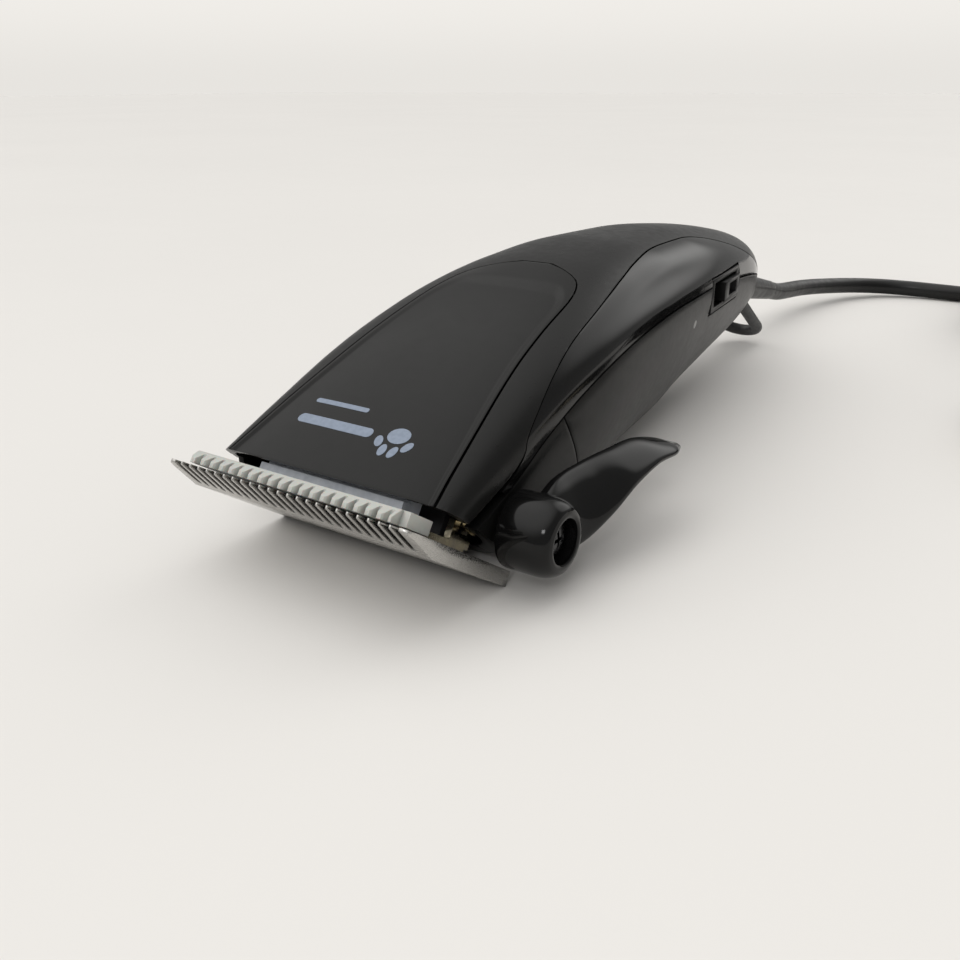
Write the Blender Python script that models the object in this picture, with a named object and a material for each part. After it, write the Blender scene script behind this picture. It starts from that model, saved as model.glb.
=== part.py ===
"""Corded pet clipper: housing, adjustable cutting head, vibrator motor, switch, taper lever and lead.

Dimensions are millimetres: +X is the taper-lever side, +Y runs from the blade to the tail, +Z up,
y = 0 at the blade's tooth tips and z = 0 on the surface it lies on.
Objects are placed in metres with the origin on the flat of the underside.
"""
import math

import bmesh
import bpy
import numpy as np
from mathutils import Matrix, Vector

MM = 0.001
REST_Y = 70.0            # distance from the tooth tips to the flat of the underside

# housing: (distance from tooth tips, value) stations of its smooth profiles
FRONT_S, TAIL_S = 7.5, 156.0
HALF_WIDTH = [(7.5, 20.2), (25, 20.7), (45, 20.6), (70, 19.2), (95, 16.9), (118, 14.3),
              (130, 12.5), (140, 9.9), (147, 7.5), (152, 5.7), (156, 4.4)]
SEAM_Z = [(7.5, 9.0), (20, 13.6), (30, 18.4), (40, 21.9), (50, 24.4), (60, 25.9), (80, 27.0),
          (95, 27.0), (110, 26.0), (130, 23.8), (145, 20.4), (156, 15.7)]
TOP_Z = [(7.5, 15.8), (25, 24.1), (35, 28.3), (45, 31.6), (55, 34.1), (65, 35.8), (80, 37.0),
         (95, 36.9), (110, 35.7), (125, 33.5), (137, 30.9), (146, 27.2), (152, 23.6), (156, 20.3)]
BOTTOM_Z = [(7.5, 0.4), (35, -0.5), (85, -0.5), (95, 0.8), (105, 2.4), (120, 5.2), (135, 8.0),
            (146, 9.9), (152, 10.8), (156, 11.3)]
TOP_EXPONENT = [(7.5, 5.4), (25, 3.6), (35, 3.0), (45, 2.7), (60, 2.5), (80, 2.35), (156, 2.1)]
LOW_EXPONENT = [(7.5, 3.4), (30, 3.1), (50, 2.6), (65, 2.25), (80, 2.0), (95, 1.8), (110, 1.75),
                (130, 1.8), (156, 2.0)]
CHEEK_TOP = [(7.5, 0.3), (16, 1.0), (20, 3.5), (22, 11), (26, 19.5), (33, 30.5), (41, 37.5),
             (51, 41.5), (62, 47), (70, 52), (84, 57), (94, 56.5), (104, 51), (114, 41),
             (124, 29), (131, 18), (138, 7), (144, 3), (156, 3)]
PANEL_EDGE = [(7.5, 46.5), (12, 51), (20, 55), (27, 57), (40, 58.8), (48, 60), (52, 62),
              (55.5, 66.5), (58.3, 76), (60.2, 86)]
FRONT_LEAN = 1.172       # run of the slanted front edge per unit of drop
LEAN_END = 60.0
SHELL_WALL = [(7.5, 2.0), (138, 2.0), (156, 1.1)]
COVER_T = 1.15
UPPER_OUT, UPPER_IN = 1.55, 2.9
UPPER_START, UPPER_END = 13.5, 148.0
NOSE_END = 29.5
SEAM_GAP = 0.17
GRIP_DEPTH = 1.1

# cutting head, in the blade's own axes: x across, u from tips to heel, n off its top face
TILT = math.radians(34.3)
BLADE_L, BLADE_T, BLADE_HALF = 25.3, 2.2, 20.5
TIP_Z = BLADE_L * math.sin(TILT) + BLADE_T * math.cos(TILT)
BLADE_TEETH, SLOT_ROOT = 25, 5.2
CUTTER_HALF, CUTTER_TEETH, CUTTER_T = 18.0, 20, 1.9
CUTTER_LIFT = 0.3
SCREW_X, SCREW_U = 9.0, 20.7

# taper lever
HUB_Y, HUB_Z = 20.9, 8.4
CRANK_R = 1.5
LEVER_SWING = math.radians(60)

# motor
MOTOR_Y, MOTOR_Z0, MOTOR_Z1 = 50.0, 12.0, 23.0
PIVOT = (6.0, 105.0)

# switch, in its own axes: outward, along the side, up
SWITCH_AT = (15.75, 105.0, 25.1)
SWITCH_TURN = math.radians(6.2)

# lead
CORD_R = 2.25
EXIT_AT, EXIT_DROP = (0.0, 156.0, 15.7), 0.21
RELIEF_OUT = 24.0
COIL_AT, COIL_R, COIL_BAND, COIL_H = (68.8, 219.9), 20.5, 9.1, 28.0
PLUG_AT, PLUG_Z = (78.5, 155.0), 6.85


def smooth(stations):
    """Monotone cubic through the stations, so a profile has no overshoot."""
    xs = np.array([s[0] for s in stations], float)
    ys = np.array([s[1] for s in stations], float)
    step = np.diff(xs)
    rise = np.diff(ys) / step
    slope = np.zeros(len(xs))
    slope[0], slope[-1] = rise[0], rise[-1]
    for i in range(1, len(xs) - 1):
        if rise[i - 1] * rise[i] > 0:
            w1, w2 = 2 * step[i] + step[i - 1], step[i] + 2 * step[i - 1]
            slope[i] = (w1 + w2) / (w1 / rise[i - 1] + w2 / rise[i])

    def curve(x):
        x = np.clip(x, xs[0], xs[-1])
        i = np.clip(np.searchsorted(xs, x, side="right") - 1, 0, len(xs) - 2)
        t = (x - xs[i]) / step[i]
        return ((1 + 2 * t) * (1 - t) ** 2 * ys[i] + t * (1 - t) ** 2 * step[i] * slope[i]
                + t * t * (3 - 2 * t) * ys[i + 1] + t * t * (t - 1) * step[i] * slope[i + 1])
    return curve


half_width, seam_z, top_z, bottom_z = map(smooth, (HALF_WIDTH, SEAM_Z, TOP_Z, BOTTOM_Z))
top_exp, low_exp = smooth(TOP_EXPONENT), smooth(LOW_EXPONENT)
cheek_top, panel_edge, shell_wall = map(smooth, (CHEEK_TOP, PANEL_EDGE, SHELL_WALL))


def section(y, phi, inset, gap):
    """A superellipse section: phi 0 on the side seam, 90 degrees on top, -90 underneath."""
    up = phi >= 0
    c, s = np.cos(phi), np.sin(phi)
    power = 2 / np.where(up, top_exp(y), low_exp(y))
    centre = np.where(up, seam_z(y) + gap, seam_z(y) - gap)
    height = np.where(up, top_z(y) - inset - centre, centre - bottom_z(y) - inset)
    x = (half_width(y) - inset) * np.sign(c) * np.abs(c) ** power
    return x, centre + height * np.sign(s) * np.abs(s) ** power


def grip(y, phi):
    """How far the finger hollow in each side sinks."""
    side = np.minimum(phi, np.pi - phi)
    return GRIP_DEPTH * np.exp(-((y - 74) / 26) ** 2 - ((side - 0.38) / 0.27) ** 2)


def skin(s, phi, inset=0.0, gap=0.0, floor=None, gripped=False):
    s, phi, inset = np.broadcast_arrays(np.asarray(s, float), phi, inset)
    y = s.copy()
    lean = FRONT_LEAN * np.clip((LEAN_END - s) / (LEAN_END - FRONT_S), 0, 1)
    for _ in range(40):
        x, z = section(y, phi, inset, gap)
        y = 0.5 * y + 0.5 * (s + lean * (top_z(s) - z))
    if gripped:
        x = x - np.sign(x) * grip(y, phi)
    if floor is not None:
        z = np.maximum(z, floor)
    return np.stack([x, y, z], -1)


# ---------------------------------------------------------------- building blocks

def world(point):
    return Vector((point[0] * MM, (point[1] - REST_Y) * MM, point[2] * MM))


def head_matrix():
    c, s = math.cos(TILT), math.sin(TILT)
    return Matrix(((1, 0, 0, 0), (0, c, s, 0), (0, -s, c, TIP_Z), (0, 0, 0, 1)))


def switch_matrix():
    c, s = math.cos(SWITCH_TURN), math.sin(SWITCH_TURN)
    return Matrix.Translation(SWITCH_AT) @ Matrix(((c, -s, 0, 0), (s, c, 0, 0), (0, 0, 1, 0),
                                                   (0, 0, 0, 1)))


def material(name, colour, roughness, metallic=0.0):
    found = bpy.data.materials.get(name)
    if found:
        return found
    made = bpy.data.materials.new(name)
    made.use_nodes = True
    shader = made.node_tree.nodes["Principled BSDF"]
    shader.inputs["Base Color"].default_value = (*colour, 1)
    shader.inputs["Roughness"].default_value = roughness
    shader.inputs["Metallic"].default_value = metallic
    return made


def gloss_black():
    return material("gloss_black", (0.012, 0.012, 0.013), 0.12)


def satin_black():
    return material("satin_black", (0.02, 0.02, 0.021), 0.4)


def inner_plastic():
    return material("inner_plastic", (0.05, 0.05, 0.055), 0.55)


def steel():
    return material("blade_steel", (0.62, 0.61, 0.58), 0.25, 1.0)


def nickel():
    return material("nickel", (0.72, 0.66, 0.52), 0.2, 1.0)


def ceramic():
    return material("white_ceramic", (0.86, 0.86, 0.84), 0.3)


def grey_plastic():
    return material("grey_plastic", (0.5, 0.52, 0.55), 0.45)


def core_steel():
    return material("core_steel", (0.3, 0.3, 0.31), 0.45, 1.0)


def copper():
    return material("copper_enamel", (0.55, 0.2, 0.08), 0.35, 1.0)


def zinc():
    return material("zinc_screw", (0.55, 0.55, 0.56), 0.3, 1.0)


def cord_rubber():
    return material("cord_rubber", (0.018, 0.018, 0.018), 0.5)


def collection(name):
    found = bpy.data.collections.get(name)
    if not found:
        found = bpy.data.collections.new(name)
        bpy.context.scene.collection.children.link(found)
    return found


def add_object(name, bm, look, pivot=None, matrix=None, smooth_angle=35):
    """Turn a mesh drawn in millimetres into an object whose origin is the pivot."""
    if matrix is not None:
        bmesh.ops.transform(bm, matrix=matrix, verts=bm.verts)
    pivot = (0.0, REST_Y, 0.0) if pivot is None else pivot
    bmesh.ops.translate(bm, vec=-Vector(pivot), verts=bm.verts)
    bmesh.ops.scale(bm, vec=(MM, MM, MM), verts=bm.verts)
    bmesh.ops.recalc_face_normals(bm, faces=bm.faces)
    mesh = bpy.data.meshes.new(name)
    bm.to_mesh(mesh)
    bm.free()
    obj = bpy.data.objects.new(name, mesh)
    obj.location = world(pivot)
    collection("pet_clipper").objects.link(obj)
    mesh.materials.append(look)
    mesh.shade_smooth()
    mesh.set_sharp_from_angle(angle=math.radians(smooth_angle))
    return obj


def combine(obj, bm, operation, pivot=None, matrix=None):
    """Cut or join a helper solid with the Boolean tool; helpers stay hidden and apart."""
    helper = add_object(obj.name + "_tool", bm, inner_plastic(), pivot, matrix)
    collection("pet_clipper").objects.unlink(helper)
    collection("cutters").objects.link(helper)
    helper.hide_render = True
    helper.display_type = "WIRE"
    step = obj.modifiers.new("shape", "BOOLEAN")
    step.operation = operation
    step.solver = "EXACT"
    step.object = helper


def block(size, centre, bevel=0.0, matrix=None):
    bm = bmesh.new()
    bmesh.ops.create_cube(bm, size=1.0)
    bmesh.ops.scale(bm, vec=size, verts=bm.verts)
    if bevel:
        bmesh.ops.bevel(bm, geom=list(bm.edges), offset=bevel, segments=2, profile=0.5,
                        affect="EDGES")
    bmesh.ops.translate(bm, vec=centre, verts=bm.verts)
    if matrix is not None:
        bmesh.ops.transform(bm, matrix=matrix, verts=bm.verts)
    return bm


def span(low, high, bevel=0.0, matrix=None):
    size = [h - l for l, h in zip(low, high)]
    centre = [(h + l) / 2 for l, h in zip(low, high)]
    return block(size, centre, bevel, matrix)


def rod(radius, start, end, sides=24):
    a, b = Vector(start), Vector(end)
    turn = Vector((0, 0, 1)).rotation_difference(b - a).to_matrix().to_4x4()
    bm = bmesh.new()
    bmesh.ops.create_cone(bm, cap_ends=True, segments=sides, radius1=radius, radius2=radius,
                          depth=(b - a).length,
                          matrix=Matrix.Translation((a + b) / 2) @ turn)
    return bm


def turned(profile, start, direction, sides=32, ring=False):
    """Spin (radius, distance) points about an axis; a ring profile closes on itself."""
    bm = bmesh.new()
    points = [bm.verts.new((r, 0, h)) for r, h in profile]
    edges = [bm.edges.new(pair) for pair in zip(points[:-1], points[1:])]
    if ring:
        edges.append(bm.edges.new((points[-1], points[0])))
    bmesh.ops.spin(bm, geom=points + edges, cent=(0, 0, 0), axis=(0, 0, 1),
                   angle=2 * math.pi, steps=sides, use_merge=True)
    bmesh.ops.remove_doubles(bm, verts=bm.verts, dist=1e-4)
    turn = Vector((0, 0, 1)).rotation_difference(Vector(direction)).to_matrix().to_4x4()
    bmesh.ops.transform(bm, matrix=Matrix.Translation(start) @ turn, verts=bm.verts)
    return bm


def prism(outline, low, high, axes=(0, 1, 2), matrix=None):
    """Extrude a flat outline; axes says which coordinates the outline and the depth take."""
    bm = bmesh.new()

    def at(point, depth):
        spot = [0.0, 0.0, 0.0]
        spot[axes[0]], spot[axes[1]], spot[axes[2]] = point[0], point[1], depth
        return spot
    face = bm.faces.new([bm.verts.new(at(p, low)) for p in outline])
    raised = bmesh.ops.extrude_face_region(bm, geom=[face])
    lift = [0.0, 0.0, 0.0]
    lift[axes[2]] = high - low
    moved = [g for g in raised["geom"] if isinstance(g, bmesh.types.BMVert)]
    bmesh.ops.translate(bm, vec=lift, verts=moved)
    if matrix is not None:
        bmesh.ops.transform(bm, matrix=matrix, verts=bm.verts)
    return bm


def loft(rings):
    """Skin closed rings of equal count and cap both ends."""
    bm = bmesh.new()
    rows = [[bm.verts.new(p) for p in ring] for ring in rings]
    count = len(rows[0])
    for a, b in zip(rows[:-1], rows[1:]):
        for j in range(count):
            k = (j + 1) % count
            bm.faces.new((a[j], a[k], b[k], b[j]))
    bm.faces.new(rows[0])
    bm.faces.new(rows[-1][::-1])
    return bm


def shell(outer, inner):
    """Closed shell between two grids of the same shape."""
    rings = []
    for a, b in zip(outer, inner):
        rings.append(np.concatenate([a, b[::-1]]))
    bm = bmesh.new()
    rows = [[bm.verts.new(p) for p in ring] for ring in rings]
    count = len(rows[0])
    half = count // 2
    for a, b in zip(rows[:-1], rows[1:]):
        for j in range(count):
            k = (j + 1) % count
            bm.faces.new((a[j], a[k], b[k], b[j]))
    for row in (rows[0], rows[-1]):
        for j in range(half - 1):
            bm.faces.new((row[j], row[j + 1], row[count - 2 - j], row[count - 1 - j]))
    return bm


def wire(name, points, radius, look, sides=2):
    """A round bar or lead along a path."""
    curve = bpy.data.curves.new(name, "CURVE")
    curve.dimensions = "3D"
    curve.bevel_depth = radius * MM
    curve.bevel_resolution = sides
    curve.use_fill_caps = True
    line = curve.splines.new("POLY")
    line.points.add(len(points) - 1)
    for slot, point in zip(line.points, points):
        slot.co = (*world(point), 1)
    curve.materials.append(look)
    obj = bpy.data.objects.new(name, curve)
    collection("pet_clipper").objects.link(obj)
    return obj


def rounded_path(corners, spacing):
    """Evenly spaced points on a Catmull-Rom curve through the corners."""
    pts = [Vector(c) for c in corners]
    pts = [2 * pts[0] - pts[1]] + pts + [2 * pts[-1] - pts[-2]]
    fine = []
    for i in range(1, len(pts) - 2):
        a, b, c, d = pts[i - 1:i + 3]
        for k in range(24):
            t = k / 24
            fine.append(0.5 * ((2 * b) + (c - a) * t + (2 * a - 5 * b + 4 * c - d) * t * t
                               + (3 * b - 3 * c + d - a) * t ** 3))
    fine.append(pts[-2])
    run = [0.0]
    for a, b in zip(fine[:-1], fine[1:]):
        run.append(run[-1] + (b - a).length)
    count = max(2, round(run[-1] / spacing) + 1)
    even = []
    for d in np.linspace(0, run[-1], count):
        i = min(max(int(np.searchsorted(run, d)) - 1, 0), len(fine) - 2)
        part = (d - run[i]) / (run[i + 1] - run[i])
        even.append(fine[i].lerp(fine[i + 1], part))
    return even


# ---------------------------------------------------------------- housing

def stations(start, end, count):
    """Stations packed closer towards both ends."""
    t = np.linspace(0, 1, count)
    return start + (end - start) * (0.75 * t + 0.25 * (1 - np.cos(np.pi * t)) / 2)


def lower_patch(start, end, count):
    s = stations(start, end, count)[:, None]
    phi = -np.radians(np.linspace(0, 180, 21))[None, :]
    phi = np.where(phi == 0, -1e-9, phi)
    return (skin(s, phi, 0.0, SEAM_GAP, floor=0.0),
            skin(s, phi, shell_wall(s), SEAM_GAP))


def lower_housing():
    obj = add_object("lower_housing", shell(*lower_patch(NOSE_END + 0.3, TAIL_S, 25)),
                     satin_black())
    combine(obj, span((-12, -10, -3.6), (8, 10, 3.6)), "DIFFERENCE", matrix=switch_matrix())
    combine(obj, rod(3.1, (-30, 60, 17), (-12, 60, 17)), "DIFFERENCE")
    for y in (54.6, 121.3):
        combine(obj, rod(3.1, (0.06, y, -3), (0.06, y, 14), 22), "DIFFERENCE")
    return obj


def nose_housing():
    obj = add_object("nose_housing", shell(*lower_patch(FRONT_S, NOSE_END, 7)), satin_black())
    combine(obj, rod(2.75, (12, HUB_Y, HUB_Z), (26, HUB_Y, HUB_Z)), "DIFFERENCE")
    return obj


def upper_housing():
    """Glossy moulding: full skin on the cheeks, sunk where the cover and the panel lie."""
    s = stations(FRONT_S, TAIL_S, 26)
    s = s[(s > UPPER_START) & (s < UPPER_END)][:, None]
    edge = cheek_top(s)
    cheek = np.linspace(0, 1, 7)[None, :]
    crown = np.linspace(0, 1, 15)[None, :]
    right, left = edge * cheek, 180 - edge * cheek[:, ::-1]
    middle = edge + (180 - 2 * edge) * crown
    phi = np.radians(np.concatenate([right, middle, left], 1))
    inset = np.concatenate([0 * right, 0 * middle + UPPER_OUT, 0 * left], 1)
    outer = skin(s, phi, inset, SEAM_GAP, gripped=True)
    inner = skin(s, phi, UPPER_IN, SEAM_GAP)
    obj = add_object("upper_housing", shell(outer, inner), gloss_black())
    combine(obj, span((-12, -10, -3.6), (8, 10, 3.6)), "DIFFERENCE", matrix=switch_matrix())
    return obj


def top_cover():
    s = stations(FRONT_S, TAIL_S, 26)[:, None]
    edge = cheek_top(s) + 1.3
    phi = np.radians(edge + (180 - 2 * edge) * np.linspace(0, 1, 15)[None, :])
    obj = add_object("top_cover", shell(skin(s, phi, 0.0, SEAM_GAP),
                                        skin(s, phi, COVER_T, SEAM_GAP)), satin_black())
    combine(obj, panel_solid(-1.0, 2.4, 0.3), "DIFFERENCE")
    return obj


def panel_solid(outer_inset, inner_inset, grow):
    """The inlay's solid; grown, it is the opening the inlay sits in, run out past the front."""
    s = np.linspace(FRONT_S, 60.2, 15)
    shift = 0 * s
    if grow:
        s = np.concatenate([s[:1], s])
        shift = np.concatenate([[-3.0], 0 * s[1:]])
        shift[-1] = grow
    edge = panel_edge(s) - grow * (3.6 + 8.0 * np.exp(-(s - FRONT_S) / 10))
    phi = np.radians(edge[:, None] + (180 - 2 * edge[:, None]) * np.linspace(0, 1, 11)[None, :])
    outer, inner = skin(s[:, None], phi, outer_inset), skin(s[:, None], phi, inner_inset)
    for grid in (outer, inner):
        grid[..., 1] += shift[:, None]
    return shell(outer, inner)


def front_panel():
    return add_object("front_panel", panel_solid(0.0, COVER_T, 0.0), satin_black())


def hanging_loop():
    """Moulded eye under the tail, with one end held between the shells."""
    bar = 1.1
    half, reach = 4.6, 11.0
    outline = [(-half - bar, -bar)]
    for k in range(0, 13):
        a = math.pi - k * math.pi / 12
        outline.append(((half + bar) * math.cos(a), reach - half + (half + bar) * math.sin(a)))
    outline += [(half + bar, -bar)]
    lay = Matrix.Translation((0, 153.6, 9.15)) @ Matrix.Rotation(math.radians(-32), 4, "X")
    obj = add_object("hanging_loop", prism(outline, -bar, bar, matrix=lay), satin_black())
    hole = [(-half + bar, bar)]
    for k in range(0, 13):
        a = math.pi - k * math.pi / 12
        hole.append(((half - bar) * math.cos(a), reach - half + (half - bar) * math.sin(a)))
    hole += [(half - bar, bar)]
    combine(obj, prism(hole, -3, 3, matrix=lay), "DIFFERENCE")
    return obj


# ---------------------------------------------------------------- cutting head

def comb(half, teeth, root, length, thickness, start, low, bevel_top):
    """A toothed plate: slots up to the root line, edge ground thin towards the tips."""
    end_tooth = 1.7
    free = 2 * half - 2 * end_tooth
    slot = free / (2 * (teeth - 2) + 1)
    outline = [(-half, length), (-half, start + 1.3), (-half + 0.9, start)]
    x = -half + end_tooth
    for tooth in range(teeth - 1):
        outline += [(x, start), (x, root), (x + slot, root), (x + slot, start)]
        x += 2 * slot
    outline += [(half - 0.9, start), (half, start + 1.3), (half, length)]
    bm = prism(outline, low, low + thickness)
    bmesh.ops.bisect_plane(bm, geom=bm.verts[:] + bm.edges[:] + bm.faces[:], dist=1e-5,
                           plane_co=(0, root, 0), plane_no=(0, 1, 0))
    tip = 0.3
    for v in bm.verts:
        if v.co.y < root - 1e-4:
            ground = (thickness - tip) * (1 - (v.co.y - start) / (root - start))
            if bevel_top and v.co.z > low + thickness / 2:
                v.co.z -= ground
            if not bevel_top and v.co.z < low + thickness / 2:
                v.co.z += ground
    return bm


def fixed_blade():
    obj = add_object("fixed_blade", comb(BLADE_HALF, BLADE_TEETH, SLOT_ROOT, BLADE_L, BLADE_T,
                                         0.0, -BLADE_T, False), steel(), matrix=head_matrix())
    for side in (-1, 1):
        sunk = turned([(0, -1.0), (3.75, -1.0), (1.8, 0.95), (1.8, 4.0), (0, 4.0)],
                      (side * SCREW_X, SCREW_U, -BLADE_T), (0, 0, 1), 15)
        combine(obj, sunk, "DIFFERENCE", matrix=head_matrix())
    return obj


def moving_blade():
    obj = add_object("moving_blade", comb(CUTTER_HALF, CUTTER_TEETH, 3.0, 7.6, CUTTER_T, 0.9,
                                          CUTTER_LIFT, True), ceramic(), matrix=head_matrix())
    tongue = span((-11, 6.9, CUTTER_LIFT + 0.05), (11, 10.6, CUTTER_LIFT + CUTTER_T - 0.05))
    combine(obj, tongue, "UNION", matrix=head_matrix())
    return obj


def cutter_carrier():
    """Bridge on the moving blade; the drive pin works in its slot."""
    base = CUTTER_LIFT + CUTTER_T + 0.3
    outline = [(-12.4, 8.4), (12.4, 8.4), (12.4, 12.4), (5, 14.4), (1.45, 14.4), (1.45, 10.2),
               (-1.45, 10.2), (-1.45, 14.4), (-5, 14.4), (-12.4, 12.4)]
    obj = add_object("cutter_carrier", prism(outline, base, base + 1.9), grey_plastic(),
                     matrix=head_matrix())
    combine(obj, span((-20, 7, 3.6), (20, 9.8, 6)), "DIFFERENCE", matrix=head_matrix())
    return obj


def blade_slide():
    """Sheet-metal slide the lever moves; its upturned ear takes the crank pin."""
    outline = [(-14.2, 11.3), (14.2, 11.3), (14.2, 22.4), (-14.2, 22.4)]
    obj = add_object("blade_slide", prism(outline, 0.3, 1.3), nickel(), matrix=head_matrix())
    combine(obj, span((13.2, 18.2, 0.8), (14.2, 23.4, 7.2)), "UNION", matrix=head_matrix())
    crank_u, crank_n = hub_in_head()
    lean = CRANK_R * math.cos(LEVER_SWING / 2)
    pin_u = crank_u - CRANK_R * math.sin(LEVER_SWING / 2)
    combine(obj, span((12, pin_u - 1.25, crank_n - lean - 1.5),
                      (18, pin_u + 1.25, crank_n - lean + 1.3)),
            "DIFFERENCE", matrix=head_matrix())
    for side in (-1, 1):
        x = side * SCREW_X
        combine(obj, span((x - 1.8, SCREW_U - 3.6, -1), (x + 1.8, SCREW_U + 4, 2)),
                "DIFFERENCE", matrix=head_matrix())
    return obj


def hub_in_head():
    c, s = math.cos(TILT), math.sin(TILT)
    dy, dz = HUB_Y, HUB_Z - TIP_Z
    return dy * c - dz * s, dy * s + dz * c


def blade_tension_spring():
    """Bent leaf: a base strip on the slide and two legs pressing the carrier down."""
    side = [(16.7, 1.6), (14.9, 1.6), (14.7, 4.75), (11.0, 4.75), (11.0, 5.15), (15.1, 5.15),
            (15.3, 2.0), (16.7, 2.0)]
    obj = add_object("blade_tension_spring", prism(side, -9.5, 9.5, axes=(1, 2, 0)), nickel(),
                     matrix=head_matrix())
    combine(obj, span((-5.5, 9, 2.3), (5.5, 15.6, 6)), "DIFFERENCE", matrix=head_matrix())
    return obj


def blade_seat():
    """Block the blade screws into, footed on the nose housing."""
    head = head_matrix()
    rect = [head @ Vector((0, u, n)) for u, n in ((18.6, 1.6), (24.3, 1.6), (24.3, 6.3),
                                                  (18.6, 6.3))]
    front_low, rear_low, rear_top, front_top = [(p.y, p.z) for p in rect]
    outline = [front_low, rear_low, (24.0, 4.6), (33.0, 4.6), (33.0, 8.6), (25.5, 8.6),
               rear_top, front_top]
    obj = add_object("blade_seat", prism(outline, -12.2, 12.2, axes=(1, 2, 0)), inner_plastic())
    for side in (-1, 1):
        combine(obj, rod(1.6, (side * SCREW_X, SCREW_U, 0), (side * SCREW_X, SCREW_U, 5.6)),
                "DIFFERENCE", matrix=head)
    return obj


def cross_recess(radius, depth, face):
    """Two crossed slots as deep as given below the face, along local z."""
    long, thin = radius * 1.15, radius * 0.26
    outline = [(-long, -thin), (-thin, -thin), (-thin, -long), (thin, -long), (thin, -thin),
               (long, -thin), (long, thin), (thin, thin), (thin, long), (-thin, long),
               (-thin, thin), (-long, thin)]
    return prism(outline, face - depth, face + 2)


def screw(name, at, direction, head_r, head_h, shank_r, shank_l, pivot=None):
    """Cross-head screw; `at` is under its head and the shank runs along the direction."""
    profile = [(0, -head_h), (head_r * 0.75, -head_h), (head_r, -head_h * 0.55), (head_r, 0),
               (shank_r, 0), (shank_r, shank_l - 0.8), (shank_r * 0.4, shank_l), (0, shank_l)]
    obj = add_object(name, turned(profile, at, direction, 14), zinc(), pivot)
    turn = Vector((0, 0, 1)).rotation_difference(-Vector(direction)).to_matrix().to_4x4()
    combine(obj, cross_recess(head_r * 0.55, head_h * 0.6, head_h), "DIFFERENCE", pivot,
            Matrix.Translation(at) @ turn)
    return obj


def blade_screws():
    """Countersunk screws, flush with the blade's underside."""
    head = head_matrix()
    profile = [(0, 0), (2.2, 0), (2.2, 0.1), (1.4, 0.95), (1.4, 6.5), (0.56, 7.3), (0, 7.3)]
    for name, side in (("left", -1), ("right", 1)):
        at = Vector((side * SCREW_X, SCREW_U, -BLADE_T + 0.05))
        obj = add_object("blade_screw_" + name, turned(profile, at, (0, 0, 1), 14), zinc(),
                         matrix=head)
        recess = cross_recess(1.25, 0.6, 0.0)
        flip = Matrix.Translation(at) @ Matrix.Rotation(math.pi, 4, "X")
        combine(obj, recess, "DIFFERENCE", matrix=head @ flip)


# ---------------------------------------------------------------- taper lever

def lever_shaft():
    """Crank shaft: hollow outer end for the screw, pin off centre at the inner end."""
    pivot = (20.0, HUB_Y, HUB_Z)
    profile = [(0, 15.3), (2.6, 15.3), (2.6, 16.0), (2.4, 16.0), (2.4, 24.4), (1.5, 24.4),
               (1.5, 18.6), (0, 18.6)]
    obj = add_object("lever_shaft", turned(profile, (0, HUB_Y, HUB_Z), (1, 0, 0), 24), nickel(),
                     pivot)
    start = -TILT - math.pi / 2 - LEVER_SWING / 2
    y = HUB_Y + CRANK_R * math.cos(start)
    z = HUB_Z + CRANK_R * math.sin(start)
    combine(obj, rod(1.0, (12.6, y, z), (15.7, y, z)), "UNION", pivot)
    return obj


def lever_arm():
    """Twisted leaf: on edge at the hub, laid over and thinned towards the finger tip."""
    # centre x, y, z, half length across, half thickness, turn of the long axis from +X
    stops = [(24.6, 23.2, 8.87, 4.3, 2.3, -84), (25.3, 26.9, 9.5, 4.85, 2.0, -68),
             (26.4, 32.2, 11.0, 4.3, 1.6, -47), (27.3, 38.1, 12.5, 3.5, 1.3, -30),
             (27.8, 44.4, 13.0, 3.0, 1.05, -24), (28.4, 49.8, 12.3, 2.5, 0.8, -18),
             (28.9, 53.7, 11.3, 0.9, 0.5, -13)]
    columns = [smooth([(i, stop[j]) for i, stop in enumerate(stops)]) for j in range(6)]
    rings = []
    for t in np.linspace(0, len(stops) - 1, 13):
        x, y, z, long, thick, turn = [float(c(t)) for c in columns]
        turn = math.radians(turn)
        ring = []
        for k in range(12):
            a = 2 * math.pi * k / 12
            p, q = long * math.cos(a), thick * math.sin(a)
            ring.append((x + p * math.cos(turn) - q * math.sin(turn), y,
                         z + p * math.sin(turn) + q * math.cos(turn)))
        rings.append(ring)
    return loft(rings)


def taper_lever():
    pivot = (20.0, HUB_Y, HUB_Z)
    profile = [(2.65, 21.2), (4.9, 21.2), (5.3, 21.8), (5.3, 25.4), (5.15, 26.4), (4.75, 27.5),
               (4.3, 28.3), (3.8, 28.8), (3.3, 28.9), (3.1, 28.7), (3.1, 26.0), (1.7, 26.0),
               (1.7, 25.1), (2.65, 25.1)]
    obj = add_object("taper_lever", turned(profile, (0, HUB_Y, HUB_Z), (1, 0, 0), 28, True),
                     gloss_black(), pivot)
    combine(obj, lever_arm(), "UNION", pivot)
    combine(obj, turned([(0, 20.5), (2.65, 20.5), (2.65, 25.1), (1.7, 25.1), (1.7, 26.0),
                         (3.1, 26.0), (3.1, 29.5), (0, 29.5)], (0, HUB_Y, HUB_Z), (1, 0, 0), 28),
            "DIFFERENCE", pivot)
    screw("lever_screw", (26.2, HUB_Y, HUB_Z), (-1, 0, 0), 2.7, 1.5, 1.2, 6.8, pivot)
    return obj


# ---------------------------------------------------------------- motor and drive

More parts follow.
